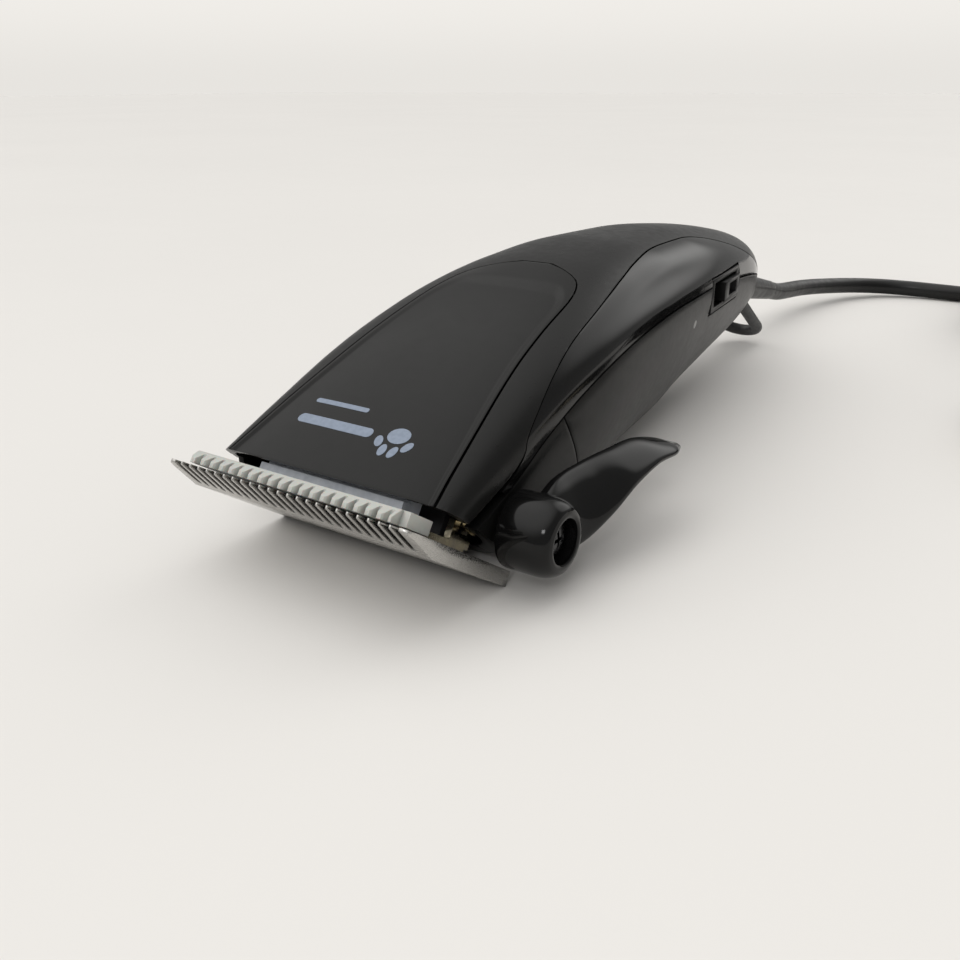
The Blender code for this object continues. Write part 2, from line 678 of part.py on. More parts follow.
def stator():
    y, z0, z1 = MOTOR_Y, MOTOR_Z0, MOTOR_Z1
    back, root, pole = -11.0, -7.0, 1.5
    outline = [(back, y), (pole, y), (pole, y + 6), (root, y + 6), (root, y + 15),
               (pole, y + 15), (pole, y + 23), (root, y + 23), (root, y + 32), (pole, y + 32),
               (pole, y + 38), (back, y + 38)]
    add_object("stator_core", prism(outline, z0, z1), core_steel())
    # former round the centre leg
    former = add_object("coil_former", span((-6.6, y + 6.4, 6.6), (-5.8, y + 31.6, 28.4)),
                        inner_plastic())
    combine(former, span((0.1, y + 6.4, 6.6), (0.9, y + 31.6, 28.4)), "UNION")
    combine(former, span((-6.2, y + 14.0, z0 - 1.0), (0.5, y + 24.0, z1 + 1.0)), "UNION")
    combine(former, span((-9, y + 14.7, z0 - 0.3), (3, y + 23.3, z1 + 0.3)), "DIFFERENCE")
    winding = add_object("coil_winding", span((-5.5, y + 7.0, 7.2), (-0.2, y + 31.0, 27.8), 1.2),
                         copper())
    combine(winding, span((-7, y + 13.7, z0 - 1.3), (1, y + 24.3, z1 + 1.3)), "DIFFERENCE")


def armature():
    x, y = PIVOT
    pivot = (x, y, 17.0)
    core = span((2.9, MOTOR_Y, MOTOR_Z0 + 0.5), (6.4, MOTOR_Y + 38, MOTOR_Z1 - 0.5), 0.3)
    add_object("armature_core", core, core_steel(), pivot)
    arm = add_object("armature_arm", span((6.7, 36, 13.0), (8.3, 103.3, 21.0), 0.2), steel(),
                     pivot)
    combine(arm, rod(2.8, (x, y, 13.0), (x, y, 21.0)), "UNION", pivot)
    combine(arm, rod(1.5, (x, y, 11.0), (x, y, 23.0)), "DIFFERENCE", pivot)
    for name, at in (("front", MOTOR_Y + 9), ("rear", MOTOR_Y + 29)):
        profile = [(0, 0), (1.8, 0), (1.8, 0.5), (1.2, 1.0), (0, 1.1)]
        add_object("armature_rivet_" + name, turned(profile, (8.6, at, 17.0), (1, 0, 0), 12),
                   zinc(), pivot)
    drive_finger(pivot)
    pin = [(0, 10.8), (1.2, 10.8), (1.2, 23.6), (2.0, 23.6), (2.0, 24.3), (0, 24.6)]
    add_object("arm_pivot_pin", turned(pin, (x, y, 0), (0, 0, 1), 20), zinc())
    bracket = [(-2.0, 11.1), (8.3, 11.1), (8.3, 12.3), (-0.8, 12.3), (-0.8, 22.0), (8.3, 22.0),
               (8.3, 23.3), (-2.0, 23.3)]
    held = add_object("arm_bracket", prism(bracket, 101.5, 108.5, axes=(0, 2, 1)), core_steel())
    combine(held, rod(1.5, (x, y, 8), (x, y, 28)), "DIFFERENCE")


def drive_finger(pivot):
    """Plastic finger from the arm to the cutter, with the drive pin under its tip."""
    stops = [((0.0, 12.8), 1.6), ((0.0, 24.0), 1.6), ((5.0, 35.0), 1.4), ((5.0, 46.0), 1.4)]
    outline = [(c[0] - w, c[1]) for c, w in stops] + [(c[0] + w, c[1]) for c, w in stops[::-1]]
    obj = add_object("drive_finger", prism(outline, 12.95, 14.75), grey_plastic(), pivot)
    combine(obj, rod(1.1, (0, 13.2, 3.6), (0, 13.2, 6.1)), "UNION", pivot, head_matrix())
    return obj


def power_screw():
    pivot = (-18.0, 60.0, 17.0)
    profile = [(0, -1.2), (2.2, -1.2), (2.7, -0.8), (2.7, 1.0), (1.3, 1.0), (1.3, 7.0), (0, 7.0)]
    obj = add_object("power_screw", turned(profile, (-18.4, 60, 17), (1, 0, 0), 18), zinc(),
                     pivot)
    combine(obj, span((-21, 57.8, 16.6), (-18.9, 62.2, 17.4)), "DIFFERENCE", pivot)
    return obj


# ---------------------------------------------------------------- switch

def switch():
    lay = switch_matrix()
    frame = add_object("switch_frame", span((-2.0, -9.6, -3.2), (0.0, 9.6, 3.2), 0.25),
                       satin_black(), matrix=lay)
    combine(frame, span((-5, -7.5, -2.2), (3, 7.5, 2.2)), "DIFFERENCE", matrix=lay)
    slider_at = lay @ Vector((0, 1.85, 0))
    slider = add_object("switch_slider", span((-1.8, -3.4, -1.85), (0.5, 7.1, 1.85), 0.2),
                        satin_black(), slider_at, lay)
    for k in range(4):
        t = 1.4 + k * 1.4
        combine(slider, span((0.0, t, -1.6), (1.5, t + 0.7, 1.6)), "UNION", slider_at, lay)
    add_object("switch_body", span((-5.6, -8.6, -3.0), (-2.3, 8.6, 3.0), 0.3), inner_plastic(),
               matrix=lay)
    for name, t in (("front", -5.0), ("rear", 5.0)):
        add_object("switch_tag_" + name, span((-7.6, t - 1.2, 1.2), (-5.9, t + 1.2, 2.0)),
                   nickel(), matrix=lay)


# ---------------------------------------------------------------- lead

def exit_axis():
    return Vector((0, 1, -EXIT_DROP)).normalized()


def strain_relief():
    profile = [(0, -9.0), (3.6, -9.0), (3.6, -6.2), (2.75, -6.0), (2.75, 1.5), (2.9, 2.2),
               (2.85, 8.0), (2.7, 14.0), (2.5, 20.0), (2.4, RELIEF_OUT - 0.4), (2.2, RELIEF_OUT),
               (0, RELIEF_OUT)]
    return add_object("strain_relief", turned(profile, EXIT_AT, exit_axis(), 16), cord_rubber())


def cord_route():
    start = Vector(EXIT_AT) + exit_axis() * (RELIEF_OUT + 0.3)
    onward = Vector(EXIT_AT) + exit_axis() * (RELIEF_OUT + 10)
    return [start, onward, (0.6, 209.0, 6.6), (4.2, 225.0, 4.9), (11.0, 238.0, 3.6),
            (21.0, 245.0, 2.8), (36.0, 247.3, CORD_R + 0.1), (47.0, 246.5, CORD_R + 0.1),
            (56.0, 245.2, CORD_R + 0.1)]


def lead():
    look = cord_rubber()
    wire("cord_tube", rounded_path(cord_route(), 4.6), CORD_R, look, 3)
    x, y = COIL_AT
    half, low, high = COIL_BAND / 2, 1.3, 1.3 + COIL_H
    soft = 3.0
    ring = []
    for cx, cz, a0 in ((-1, -1, 180), (1, -1, 270), (1, 1, 0), (-1, 1, 90)):
        for k in range(3):
            a = math.radians(a0 + k * 45)
            ring.append((COIL_R + cx * (half - soft) + soft * math.cos(a),
                         (low + high) / 2 + cz * ((high - low) / 2 - soft)
                         + soft * math.sin(a)))
    add_object("cord_coil", turned(ring, (x, y, 0), (0, 0, 1), 28, True), look)
    tie = add_object("cord_tie", span((x - 2, y - COIL_R - half - 1.1, 0.2),
                                      (x + 2, y - COIL_R + half + 1.1, high + 1.1), 0.3), look)
    combine(tie, span((x - 5, y - COIL_R - half - 0.35, 0.95),
                      (x + 5, y - COIL_R + half + 0.35, high + 0.35)), "DIFFERENCE")
    over = high + 0.35 + CORD_R
    px, py = PLUG_AT
    fall = over - PLUG_Z
    wire("cord_end", rounded_path([(90.3, 212.1, over), (88.8, 207.6, over), (86.4, 200.8, over),
                                   (83.4, 190.0, over - fall * 0.15),
                                   (80.9, 179.0, over - fall * 0.5),
                                   (79.2, 168.0, over - fall * 0.85), (px, py + 4, PLUG_Z),
                                   (px, py + 0.3, PLUG_Z)], 4.0), CORD_R, look, 3)
    plug()


def plug():
    look = cord_rubber()
    (x, y), mid = PLUG_AT, PLUG_Z
    # distance from the cord end, half width, half height
    stops = [(0, 3.4, 3.4), (4, 4.2, 4.2), (10, 7.5, 5.6), (18, 12.5, 6.6), (26, 17.2, 6.85),
             (36, 17.6, 6.85)]
    rings = []
    for run, wide, tall in stops:
        ring = []
        for k in range(16):
            a = 2 * math.pi * k / 16
            c, s = math.cos(a), math.sin(a)
            ring.append((x + wide * math.copysign(abs(c) ** 0.6, c), y - run,
                         mid + tall * math.copysign(abs(s) ** 0.6, s)))
        rings.append(ring)
    add_object("plug_body", loft(rings), look)
    for name, side in (("left", -1), ("right", 1)):
        pin = [(0, 0), (2.0, 0), (2.0, 17.6), (1.2, 19.0), (0, 19.0)]
        add_object("plug_pin_" + name, turned(pin, (x + side * 9.0, y - 36.3, mid), (0, -1, 0),
                                              16), nickel())


def inside_lead():
    """Sheathed lead inside the tail, its clamp, and the two cores to switch and coil."""
    look = cord_rubber()
    back = Vector(EXIT_AT) - exit_axis() * 10.4
    wire("cord_inner", [back, (0, 141.0, 17.2), (0, 134.0, 17.2)], CORD_R, look, 2)
    clamp = span((-6.0, 136.5, 19.75), (6.0, 141.5, 21.9), 0.3)
    add_object("cord_clamp", clamp, inner_plastic())
    for name, side in (("left", -1), ("right", 1)):
        at = (side * 4.2, 139.0, 22.2)
        screw("clamp_screw_" + name, at, (0, 0, 1), 1.4, 0.1, 0.9, 1.2)
    live = [(0.9, 133.6, 17.6), (3.0, 124.0, 20.0), (5.0, 114.5, 24.6)]
    wire("lead_wire_live", rounded_path(live, 3.0), 0.55, material("red_pvc", (0.4, 0.03, 0.02),
                                                                   0.5), 1)
    neutral = [(-0.9, 133.6, 17.6), (-4.5, 118.0, 20.0), (-6.5, 104.0, 24.0),
               (-5.5, 92.0, 28.0), (-4.0, 82.5, 27.0)]
    wire("lead_wire_neutral", rounded_path(neutral, 3.0), 0.55,
         material("blue_pvc", (0.02, 0.08, 0.35), 0.5), 1)


def housing_screws():
    screw("housing_screw_front", (0, 54.6, 2.4), (0, 0, 1), 2.7, 1.6, 1.4, 7.0)
    screw("housing_screw_rear", (0, 121.3, 8.4), (0, 0, 1), 2.7, 1.6, 1.4, 7.0)


def build():
    for obj in list(bpy.data.objects):
        bpy.data.objects.remove(obj, do_unlink=True)
    lower_housing()
    nose_housing()
    upper_housing()
    top_cover()
    front_panel()
    hanging_loop()
    fixed_blade()
    moving_blade()
    cutter_carrier()
    blade_slide()
    blade_tension_spring()
    blade_seat()
    blade_screws()
    lever_shaft()
    taper_lever()
    stator()
    armature()
    power_screw()
    switch()
    housing_screws()
    strain_relief()
    lead()
    inside_lead()


build()
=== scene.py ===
import math

import bmesh
import bpy
import numpy as np
from mathutils import Matrix, Vector

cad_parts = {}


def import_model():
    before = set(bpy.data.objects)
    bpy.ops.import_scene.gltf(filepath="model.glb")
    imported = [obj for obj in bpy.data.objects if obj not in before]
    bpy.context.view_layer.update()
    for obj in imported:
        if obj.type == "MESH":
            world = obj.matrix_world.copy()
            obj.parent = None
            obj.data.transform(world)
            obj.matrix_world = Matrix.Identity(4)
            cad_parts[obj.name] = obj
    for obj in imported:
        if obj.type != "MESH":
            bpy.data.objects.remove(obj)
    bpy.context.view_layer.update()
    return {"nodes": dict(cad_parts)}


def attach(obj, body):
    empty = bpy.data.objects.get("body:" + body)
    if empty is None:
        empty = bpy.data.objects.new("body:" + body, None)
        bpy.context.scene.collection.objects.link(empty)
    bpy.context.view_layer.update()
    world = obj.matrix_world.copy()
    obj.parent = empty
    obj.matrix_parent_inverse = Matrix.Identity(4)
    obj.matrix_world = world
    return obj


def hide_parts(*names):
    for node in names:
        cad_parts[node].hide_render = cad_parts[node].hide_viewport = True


# A corded pet clipper. Drawn in millimetres with +X the taper-lever side, +Y from the blade to the
# tail, y = 0 at the tooth tips and z = 0 on the surface it lies on, then placed in the CAD's frame.
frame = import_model()
nodes = frame["nodes"]

MM = 0.001
REST_Y = 70.0            # distance from the tooth tips to the flat of the underside

# housing: (distance from tooth tips, value) stations of its smooth profiles
FRONT_S, TAIL_S = 7.5, 156.0
HALF_WIDTH = [(7.5, 20.2), (25, 20.7), (45, 20.6), (70, 19.2), (95, 16.9), (118, 14.3),
              (130, 12.5), (140, 9.9), (147, 7.5), (152, 5.7), (156, 4.4)]
SEAM_Z = [(7.5, 9.0), (20, 13.6), (30, 18.4), (40, 21.9), (50, 24.4), (60, 25.9), (80, 27.0),
          (95, 27.0), (110, 26.0), (130, 23.8), (145, 20.4), (156, 15.7)]
TOP_Z = [(7.5, 15.8), (25, 24.1), (35, 28.3), (45, 31.6), (55, 34.1), (65, 35.8), (80, 37.0),
         (95, 36.9), (110, 35.7), (125, 33.5), (137, 30.9), (146, 27.2), (152, 23.6), (156, 20.3)]
BOTTOM_Z = [(7.5, 0.4), (35, -0.5), (85, -0.5), (95, 0.8), (105, 2.4), (120, 5.2), (135, 8.0),
            (146, 9.9), (152, 10.8), (156, 11.3)]
TOP_EXPONENT = [(7.5, 5.4), (25, 3.6), (35, 3.0), (45, 2.7), (60, 2.5), (80, 2.35), (156, 2.1)]
LOW_EXPONENT = [(7.5, 3.4), (30, 3.1), (50, 2.6), (65, 2.25), (80, 2.0), (95, 1.8), (110, 1.75),
                (130, 1.8), (156, 2.0)]
CHEEK_TOP = [(7.5, 0.3), (16, 1.0), (20, 3.5), (22, 11), (26, 19.5), (33, 30.5), (41, 37.5),
             (51, 41.5), (62, 47), (70, 52), (84, 57), (94, 56.5), (104, 51), (114, 41),
             (124, 29), (131, 18), (138, 7), (144, 3), (156, 3)]
PANEL_EDGE = [(7.5, 46.5), (12, 51), (20, 55), (27, 57), (40, 58.8), (48, 60), (52, 62),
              (55.5, 66.5), (58.3, 76), (60.2, 86)]
SHELL_WALL = [(7.5, 2.0), (138, 2.0), (156, 1.1)]
FRONT_LEAN, LEAN_END = 1.172, 60.0
COVER_T, UPPER_OUT, UPPER_IN = 1.15, 1.55, 2.9
UPPER_START, UPPER_END = 13.5, 148.0
NOSE_END, NOSE_GAP = 29.5, 0.3
SEAM_GAP, COVER_GAP_DEGREES = 0.17, 1.3
GRIP_DEPTH = 1.1

# cutting head, in the blade's own axes: x across, u from tips to heel, n off its top face
TILT = math.radians(34.3)
BLADE_L, BLADE_T, BLADE_HALF = 25.3, 2.2, 20.5
TIP_Z = BLADE_L * math.sin(TILT) + BLADE_T * math.cos(TILT)
BLADE_TEETH, SLOT_ROOT = 25, 5.2
CUTTER_HALF, CUTTER_TEETH, CUTTER_T, CUTTER_LIFT = 18.0, 20, 1.9, 0.3
CUTTER_TIPS, CUTTER_ROOT, CUTTER_HEEL = 0.9, 2.1, 7.6
SCREW_X, SCREW_U = 9.0, 20.7

# lever hub, holes through the lower housing, and switch
HUB_Y, HUB_Z = 20.9, 8.4
HOUSING_SCREWS_Y = (54.6, 121.3)
POWER_SCREW_Y, POWER_SCREW_Z = 60.0, 17.0
HOLE_R = 3.1
SWITCH_AT, SWITCH_TURN = (15.75, 105.0, 25.1), math.radians(6.2)

# lead
CORD_R, CORD_LENGTH = 2.25, 1.8
EXIT_AT, EXIT_DROP, RELIEF_OUT = (0.0, 156.0, 15.7), 0.21, 24.0
COIL_AT, COIL_R = (68.8, 219.9), 20.5
PLUG_AT, PLUG_Z = (78.5, 155.0), 6.85

# camera: place, aim and roll
CAMERA_AT = (81.6, -75.03, 61.94)
CAMERA_TURN, CAMERA_RISE, CAMERA_ROLL = math.radians(34.52), math.radians(22.43), math.radians(-0.27)
LENS = SENSOR = 36.0

# studio: each soft light's direction, where it starts and is full, and its brightness
SKY_BASE = 0.36
MAIN_SIDE, MAIN_RANGE, MAIN_LEVEL = (-0.35, -0.22, 0.92), (0.42, 1.02), 1.5
STRIP_SIDE, STRIP_RANGE, STRIP_LEVEL = (0.17, 0.82, 0.55), (0.89, 0.975), 1.25
FRONT_LAMP_WATTS, FRONT_LAMP_AT, FRONT_LAMP_SIZE = 2.4, (0.5, -1.1, 0.9), (0.3, 0.24)
FLOOR_PAINT, BACKDROP = (0.738, 0.722, 0.7), (0.80, 0.778, 0.742)


def smooth(stations):
    """Monotone cubic through the stations, so a profile has no overshoot."""
    xs = np.array([s[0] for s in stations], float)
    ys = np.array([s[1] for s in stations], float)
    step = np.diff(xs)
    rise = np.diff(ys) / step
    slope = np.zeros(len(xs))
    slope[0], slope[-1] = rise[0], rise[-1]
    for i in range(1, len(xs) - 1):
        if rise[i - 1] * rise[i] > 0:
            w1, w2 = 2 * step[i] + step[i - 1], step[i] + 2 * step[i - 1]
            slope[i] = (w1 + w2) / (w1 / rise[i - 1] + w2 / rise[i])

    def curve(x):
        x = np.clip(x, xs[0], xs[-1])
        i = np.clip(np.searchsorted(xs, x, side="right") - 1, 0, len(xs) - 2)
        t = (x - xs[i]) / step[i]
        return ((1 + 2 * t) * (1 - t) ** 2 * ys[i] + t * (1 - t) ** 2 * step[i] * slope[i]
                + t * t * (3 - 2 * t) * ys[i + 1] + t * t * (t - 1) * step[i] * slope[i + 1])
    return curve


half_width, seam_z, top_z, bottom_z = map(smooth, (HALF_WIDTH, SEAM_Z, TOP_Z, BOTTOM_Z))
top_exp, low_exp = smooth(TOP_EXPONENT), smooth(LOW_EXPONENT)
cheek_top, panel_edge, shell_wall = map(smooth, (CHEEK_TOP, PANEL_EDGE, SHELL_WALL))


def ease(low, high, x):
    """0 below low, 1 above high, smooth between."""
    t = np.clip((np.asarray(x, float) - low) / (high - low), 0, 1)
    return t * t * (3 - 2 * t)


def section(y, phi, inset, gap):
    """A superellipse section: phi 0 on the side seam, 90 degrees on top, -90 underneath."""
    up = phi >= 0
    c, s = np.cos(phi), np.sin(phi)
    power = 2 / np.where(up, top_exp(y), low_exp(y))
    centre = np.where(up, seam_z(y) + gap, seam_z(y) - gap)
    height = np.where(up, top_z(y) - inset - centre, centre - bottom_z(y) - inset)
    x = (half_width(y) - inset) * np.sign(c) * np.abs(c) ** power
    return x, centre + height * np.sign(s) * np.abs(s) ** power


def grip(y, phi):
    """How far the finger hollow in each side sinks."""
    middle_y, half_long, middle_phi, half_high = 74, 26, 0.38, 0.27
    side = np.minimum(phi, np.pi - phi)
    return GRIP_DEPTH * np.exp(-((y - middle_y) / half_long) ** 2
                               - ((side - middle_phi) / half_high) ** 2)


def skin(s, phi, inset=0.0, gap=0.0, floor=None, gripped=False):
    """Points of the housing's skin; near the front each section leans back with its height."""
    s, phi, inset = np.broadcast_arrays(np.asarray(s, float), phi, inset)
    y = s.copy()
    lean = FRONT_LEAN * np.clip((LEAN_END - s) / (LEAN_END - FRONT_S), 0, 1)
    # the lean follows from the height and the height from the lean: settled by repetition
    for _ in range(40):
        x, z = section(y, phi, inset, gap)
        y = 0.5 * y + 0.5 * (s + lean * (top_z(s) - z))
    if gripped:
        x = x - np.sign(x) * grip(y, phi)
    if floor is not None:
        z = np.maximum(z, floor)
    return np.stack([x, y, z], -1)


def world(point):
    """A point in millimetres, placed in the CAD's frame."""
    return Vector((point[0] * MM, (point[1] - REST_Y) * MM, point[2] * MM))


def head_matrix():
    """From the blade's own axes to the clipper's."""
    c, s = math.cos(TILT), math.sin(TILT)
    return Matrix(((1, 0, 0, 0), (0, c, s, 0), (0, -s, c, TIP_Z), (0, 0, 0, 1)))


def switch_matrix():
    """From the switch's own axes, x out of the side and y along it, to the clipper's."""
    return Matrix.Translation(SWITCH_AT) @ Matrix.Rotation(SWITCH_TURN, 4, "Z")


def exit_axis():
    """The way the lead leaves the tail."""
    return Vector((0, 1, -EXIT_DROP)).normalized()


# ---------- camera

def add_camera():
    """Looks back from its place along its turn, rise and roll."""
    a, e, r = CAMERA_TURN, CAMERA_RISE, CAMERA_ROLL
    back = Vector((math.sin(a) * math.cos(e), -math.cos(a) * math.cos(e), math.sin(e)))
    right = Vector((math.cos(a), math.sin(a), 0))
    up = back.cross(right)
    axes = (right * math.cos(r) + up * math.sin(r), up * math.cos(r) - right * math.sin(r), back)
    data = bpy.data.cameras.new("camera")
    data.lens, data.sensor_width = LENS, SENSOR
    data.clip_start, data.clip_end = 0.005, 20.0
    camera = added("camera", data)
    camera.matrix_world = Matrix.Translation(world(CAMERA_AT)) @ Matrix(axes).transposed().to_4x4()
    bpy.context.scene.camera = camera


# ---------- materials

def add_node(tree, kind, links=(), **values):
    """A shader node; each value goes to its property of that name, or else to its input."""
    made = tree.nodes.new(kind)
    for key, value in values.items():
        if hasattr(made, key):
            setattr(made, key, value)
        else:
            made.inputs[key.replace("_", " ")].default_value = value
    for socket, source in links:
        tree.links.new(source, made.inputs[socket])
    return made


class Look:
    """A Principled material built from noise; every size in it is in metres."""

    def __init__(self, name, colour, roughness, metallic=0.0, **sockets):
        self.made = bpy.data.materials.new(name)
        self.made.use_nodes = True
        self.tree = self.made.node_tree
        self.shader = self.tree.nodes["Principled BSDF"]
        self.place = self.tree.nodes.new("ShaderNodeTexCoord").outputs["Object"]
        values = dict(sockets, Base_Color=(*colour, 1), Roughness=roughness, Metallic=metallic)
        for socket, value in values.items():
            self.shader.inputs[socket.replace("_", " ")].default_value = value

    def node(self, kind, links=(), **values):
        return add_node(self.tree, kind, links, **values)

    def stretched(self, scale):
        """Object coordinates scaled apart along each axis, to draw lines out of noise."""
        made = self.node("ShaderNodeMapping", [("Vector", self.place)], Scale=scale)
        return made.outputs["Vector"]

    def noise(self, size, detail=3.0, where=None):
        made = self.node("ShaderNodeTexNoise", [("Vector", where or self.place)], Detail=detail,
                         Scale=1 / size)
        return made.outputs["Fac"]

    def bands(self, scale):
        """Fine layers across z."""
        made = self.node("ShaderNodeTexWave", [("Vector", self.place)], bands_direction="Z",
                         Scale=scale)
        return made.outputs["Fac"]

    def spread(self, source, low, high, start=0.3, end=0.7):
        """The source's run from start to end, drawn out to low to high."""
        made = self.node("ShaderNodeMapRange", [("Value", source)], From_Min=start, From_Max=end,
                         To_Min=low, To_Max=high)
        return made.outputs["Result"]

    def mix_colours(self, first, second, source):
        """Base colour that runs from the first to the second as the source goes from 0 to 1."""
        mix = self.node("ShaderNodeMix", data_type="RGBA")
        colours = [i for i in mix.inputs if i.type == "RGBA"]
        colours[0].default_value = (*first, 1)
        colours[1].default_value = (*second, 1)
        factor = [i for i in mix.inputs if i.name == "Factor" and i.type == "VALUE"][0]
        self.tree.links.new(source, factor)
        out = [o for o in mix.outputs if o.type == "RGBA"][0]
        self.tree.links.new(out, self.shader.inputs["Base Color"])
        return self

    def vary_colour(self, size, first, second):
        return self.mix_colours(first, second, self.spread(self.noise(size), 0, 1, 0.35, 0.65))

    def paint_shade_in_hollows(self, reach, deep, colour):
        """Painted shade between the teeth: the base colour runs to the deep colour where ambient
        occlusion finds that little light gets in.
        """
        found = self.node("ShaderNodeAmbientOcclusion", samples=8, Distance=reach)
        return self.mix_colours(deep, colour, self.spread(found.outputs["AO"], 0, 1, 0.35, 0.92))

    def vary_roughness(self, size, low, high, where=None):
        self.tree.links.new(self.spread(self.noise(size, 4.0, where), low, high),
                            self.shader.inputs["Roughness"])
        return self

    def bump(self, source, depth, strength=1.0):
        made = self.node("ShaderNodeBump", [("Height", source)], Distance=depth,
                         Strength=strength)
        self.tree.links.new(made.outputs["Normal"], self.shader.inputs["Normal"])
        return self


def grind_lines(look):
    """Grinding marks along x that vary the gloss and lift the surface a little."""
    lines = look.stretched((0.02, 1, 1))
    look.vary_roughness(0.00012, 0.16, 0.4, lines)
    return look.bump(look.noise(0.00012, 2.0, lines), 0.000006, 0.5)


def plastic_looks(add):
    gloss = add("gloss_black", (0.004, 0.004, 0.004), 0.07, IOR=1.5, Specular_IOR_Level=0.23)
    gloss.vary_roughness(0.006, 0.05, 0.13).bump(gloss.noise(0.009, 1.0), 0.00003, 0.3)
    cover = add("satin_cover", (0.007, 0.007, 0.0068), 0.3, IOR=1.5, Specular_IOR_Level=0.17)
    cover.vary_roughness(0.0015, 0.27, 0.36).bump(cover.noise(0.00025, 2.0), 0.000008, 0.5)
    panel = add("satin_panel", (0.006, 0.006, 0.0058), 0.2, IOR=1.5, Specular_IOR_Level=0.15)
    panel.vary_roughness(0.002, 0.17, 0.26).bump(panel.noise(0.0003, 2.0), 0.000004, 0.4)
    hull = add("satin_hull", (0.006, 0.006, 0.0058), 0.3, IOR=1.5, Specular_IOR_Level=0.1)
    hull.vary_roughness(0.0015, 0.29, 0.33).bump(hull.noise(0.00035, 2.0), 0.000002, 0.25)
    matt = add("moulded_black", (0.02, 0.02, 0.021), 0.45)
    matt.vary_roughness(0.001, 0.4, 0.55).bump(matt.noise(0.0003), 0.00001, 0.6)
    add("inner_plastic", (0.05, 0.05, 0.055), 0.55).vary_roughness(0.0008, 0.45, 0.65)
    grey = add("grey_plastic", (0.36, 0.38, 0.42), 0.4)
    grey.vary_colour(0.0012, (0.38, 0.4, 0.44), (0.31, 0.33, 0.37))
    grey.vary_roughness(0.0007, 0.35, 0.5)
    cord_rubber = add("cord", (0.009, 0.009, 0.009), 0.38, IOR=1.5, Specular_IOR_Level=0.3)
    cord_rubber.vary_roughness(0.002, 0.3, 0.45)
    cord_rubber.bump(cord_rubber.noise(0.0006, 2.0), 0.00002, 0.5)
    add("red_wire", (0.4, 0.03, 0.02), 0.45).vary_roughness(0.0008, 0.38, 0.55)
    add("blue_wire", (0.02, 0.08, 0.35), 0.45).vary_roughness(0.0008, 0.38, 0.55)


def metal_looks(add):
    steel = (0.46, 0.45, 0.43)
    ground = grind_lines(add("ground_steel", steel, 0.26, 1.0))
    # painted shade: the steel goes near black in the slots and hollows between the teeth
    ground.paint_shade_in_hollows(0.0016, (0.012, 0.011, 0.01), steel)
    add("spring_steel", (0.5, 0.5, 0.5), 0.35, 1.0).vary_roughness(0.0006, 0.25, 0.5)
    nickel = add("nickel", (0.76, 0.68, 0.48), 0.15, 1.0)
    nickel.vary_roughness(0.0005, 0.1, 0.28)
    nickel.vary_colour(0.002, (0.78, 0.7, 0.5), (0.62, 0.56, 0.44))
    zinc = add("zinc", (0.5, 0.5, 0.51), 0.28, 1.0)
    zinc.vary_roughness(0.0004, 0.18, 0.42)
    zinc.vary_colour(0.0015, (0.5, 0.5, 0.51), (0.4, 0.4, 0.42))
    dark = add("blackened_steel", (0.06, 0.06, 0.062), 0.25, 1.0)
    dark.vary_roughness(0.0005, 0.18, 0.35)
    core = add("laminations", (0.22, 0.22, 0.23), 0.4, 1.0)
    core.bump(core.bands(320.0), 0.00008).vary_roughness(0.0006, 0.3, 0.55)
    wound = add("copper", (0.6, 0.2, 0.07), 0.28, 1.0)
    wound.bump(wound.bands(450.0), 0.0001).vary_roughness(0.0005, 0.2, 0.4)


def pale_looks(add):
    pale = (0.46, 0.47, 0.44)
    white = add("ceramic", pale, 0.35, Subsurface_Weight=0.15, Subsurface_Scale=0.001)
    white.vary_roughness(0.0006, 0.28, 0.42).bump(white.noise(0.0002, 2.0), 0.000006, 0.4)
    # painted shade: the ceramic goes grey in the hollows between its teeth
    white.paint_shade_in_hollows(0.0007, (0.27, 0.27, 0.26), pale)
    ink = add("pale_blue_ink", (0.2, 0.245, 0.32), 0.4)
    ink.vary_colour(0.0006, (0.205, 0.25, 0.33), (0.17, 0.21, 0.28))
    ink.vary_roughness(0.0005, 0.35, 0.5)
    mark = add("white_ink", (0.3, 0.3, 0.3), 0.45)
    mark.vary_colour(0.0004, (0.31, 0.31, 0.31), (0.26, 0.26, 0.26))


def make_looks():
    looks = {}

    def add(name, *args, **sockets):
        looks[name] = Look(name, *args, **sockets)
        return looks[name]

    plastic_looks(add)
    metal_looks(add)
    pale_looks(add)
    return {name: look.made for name, look in looks.items()}


# ---------- modelling tools

def added(name, data):
    """A new object in the scene."""
    obj = bpy.data.objects.new(name, data)
    bpy.context.scene.collection.objects.link(obj)
    return obj


def apply_modifiers(obj):
    shaped = obj.evaluated_get(bpy.context.evaluated_depsgraph_get())
    mesh, old = bpy.data.meshes.new_from_object(shaped), obj.data
    obj.modifiers.clear()
    obj.data = mesh
    bpy.data.meshes.remove(old)


def solid(name, bm, matrix=None):
    """An object from a mesh drawn in millimetres, placed in the CAD's frame."""
    if matrix is not None:
        bmesh.ops.transform(bm, matrix=matrix, verts=bm.verts)
    bmesh.ops.translate(bm, vec=(0, -REST_Y, 0), verts=bm.verts)
    bmesh.ops.scale(bm, vec=(MM, MM, MM), verts=bm.verts)
    bmesh.ops.recalc_face_normals(bm, faces=bm.faces)
    mesh = bpy.data.meshes.new(name)
    bm.to_mesh(mesh)
    bm.free()
    return added(name, mesh)


def combine(obj, bm, operation="DIFFERENCE", matrix=None):
    """Cuts with, or joins, a helper solid at once."""
    helper = solid("helper", bm, matrix)
    step = obj.modifiers.new("shape", "BOOLEAN")
    step.operation, step.solver, step.object = operation, "EXACT", helper
    apply_modifiers(obj)
    bpy.data.objects.remove(helper, do_unlink=True)


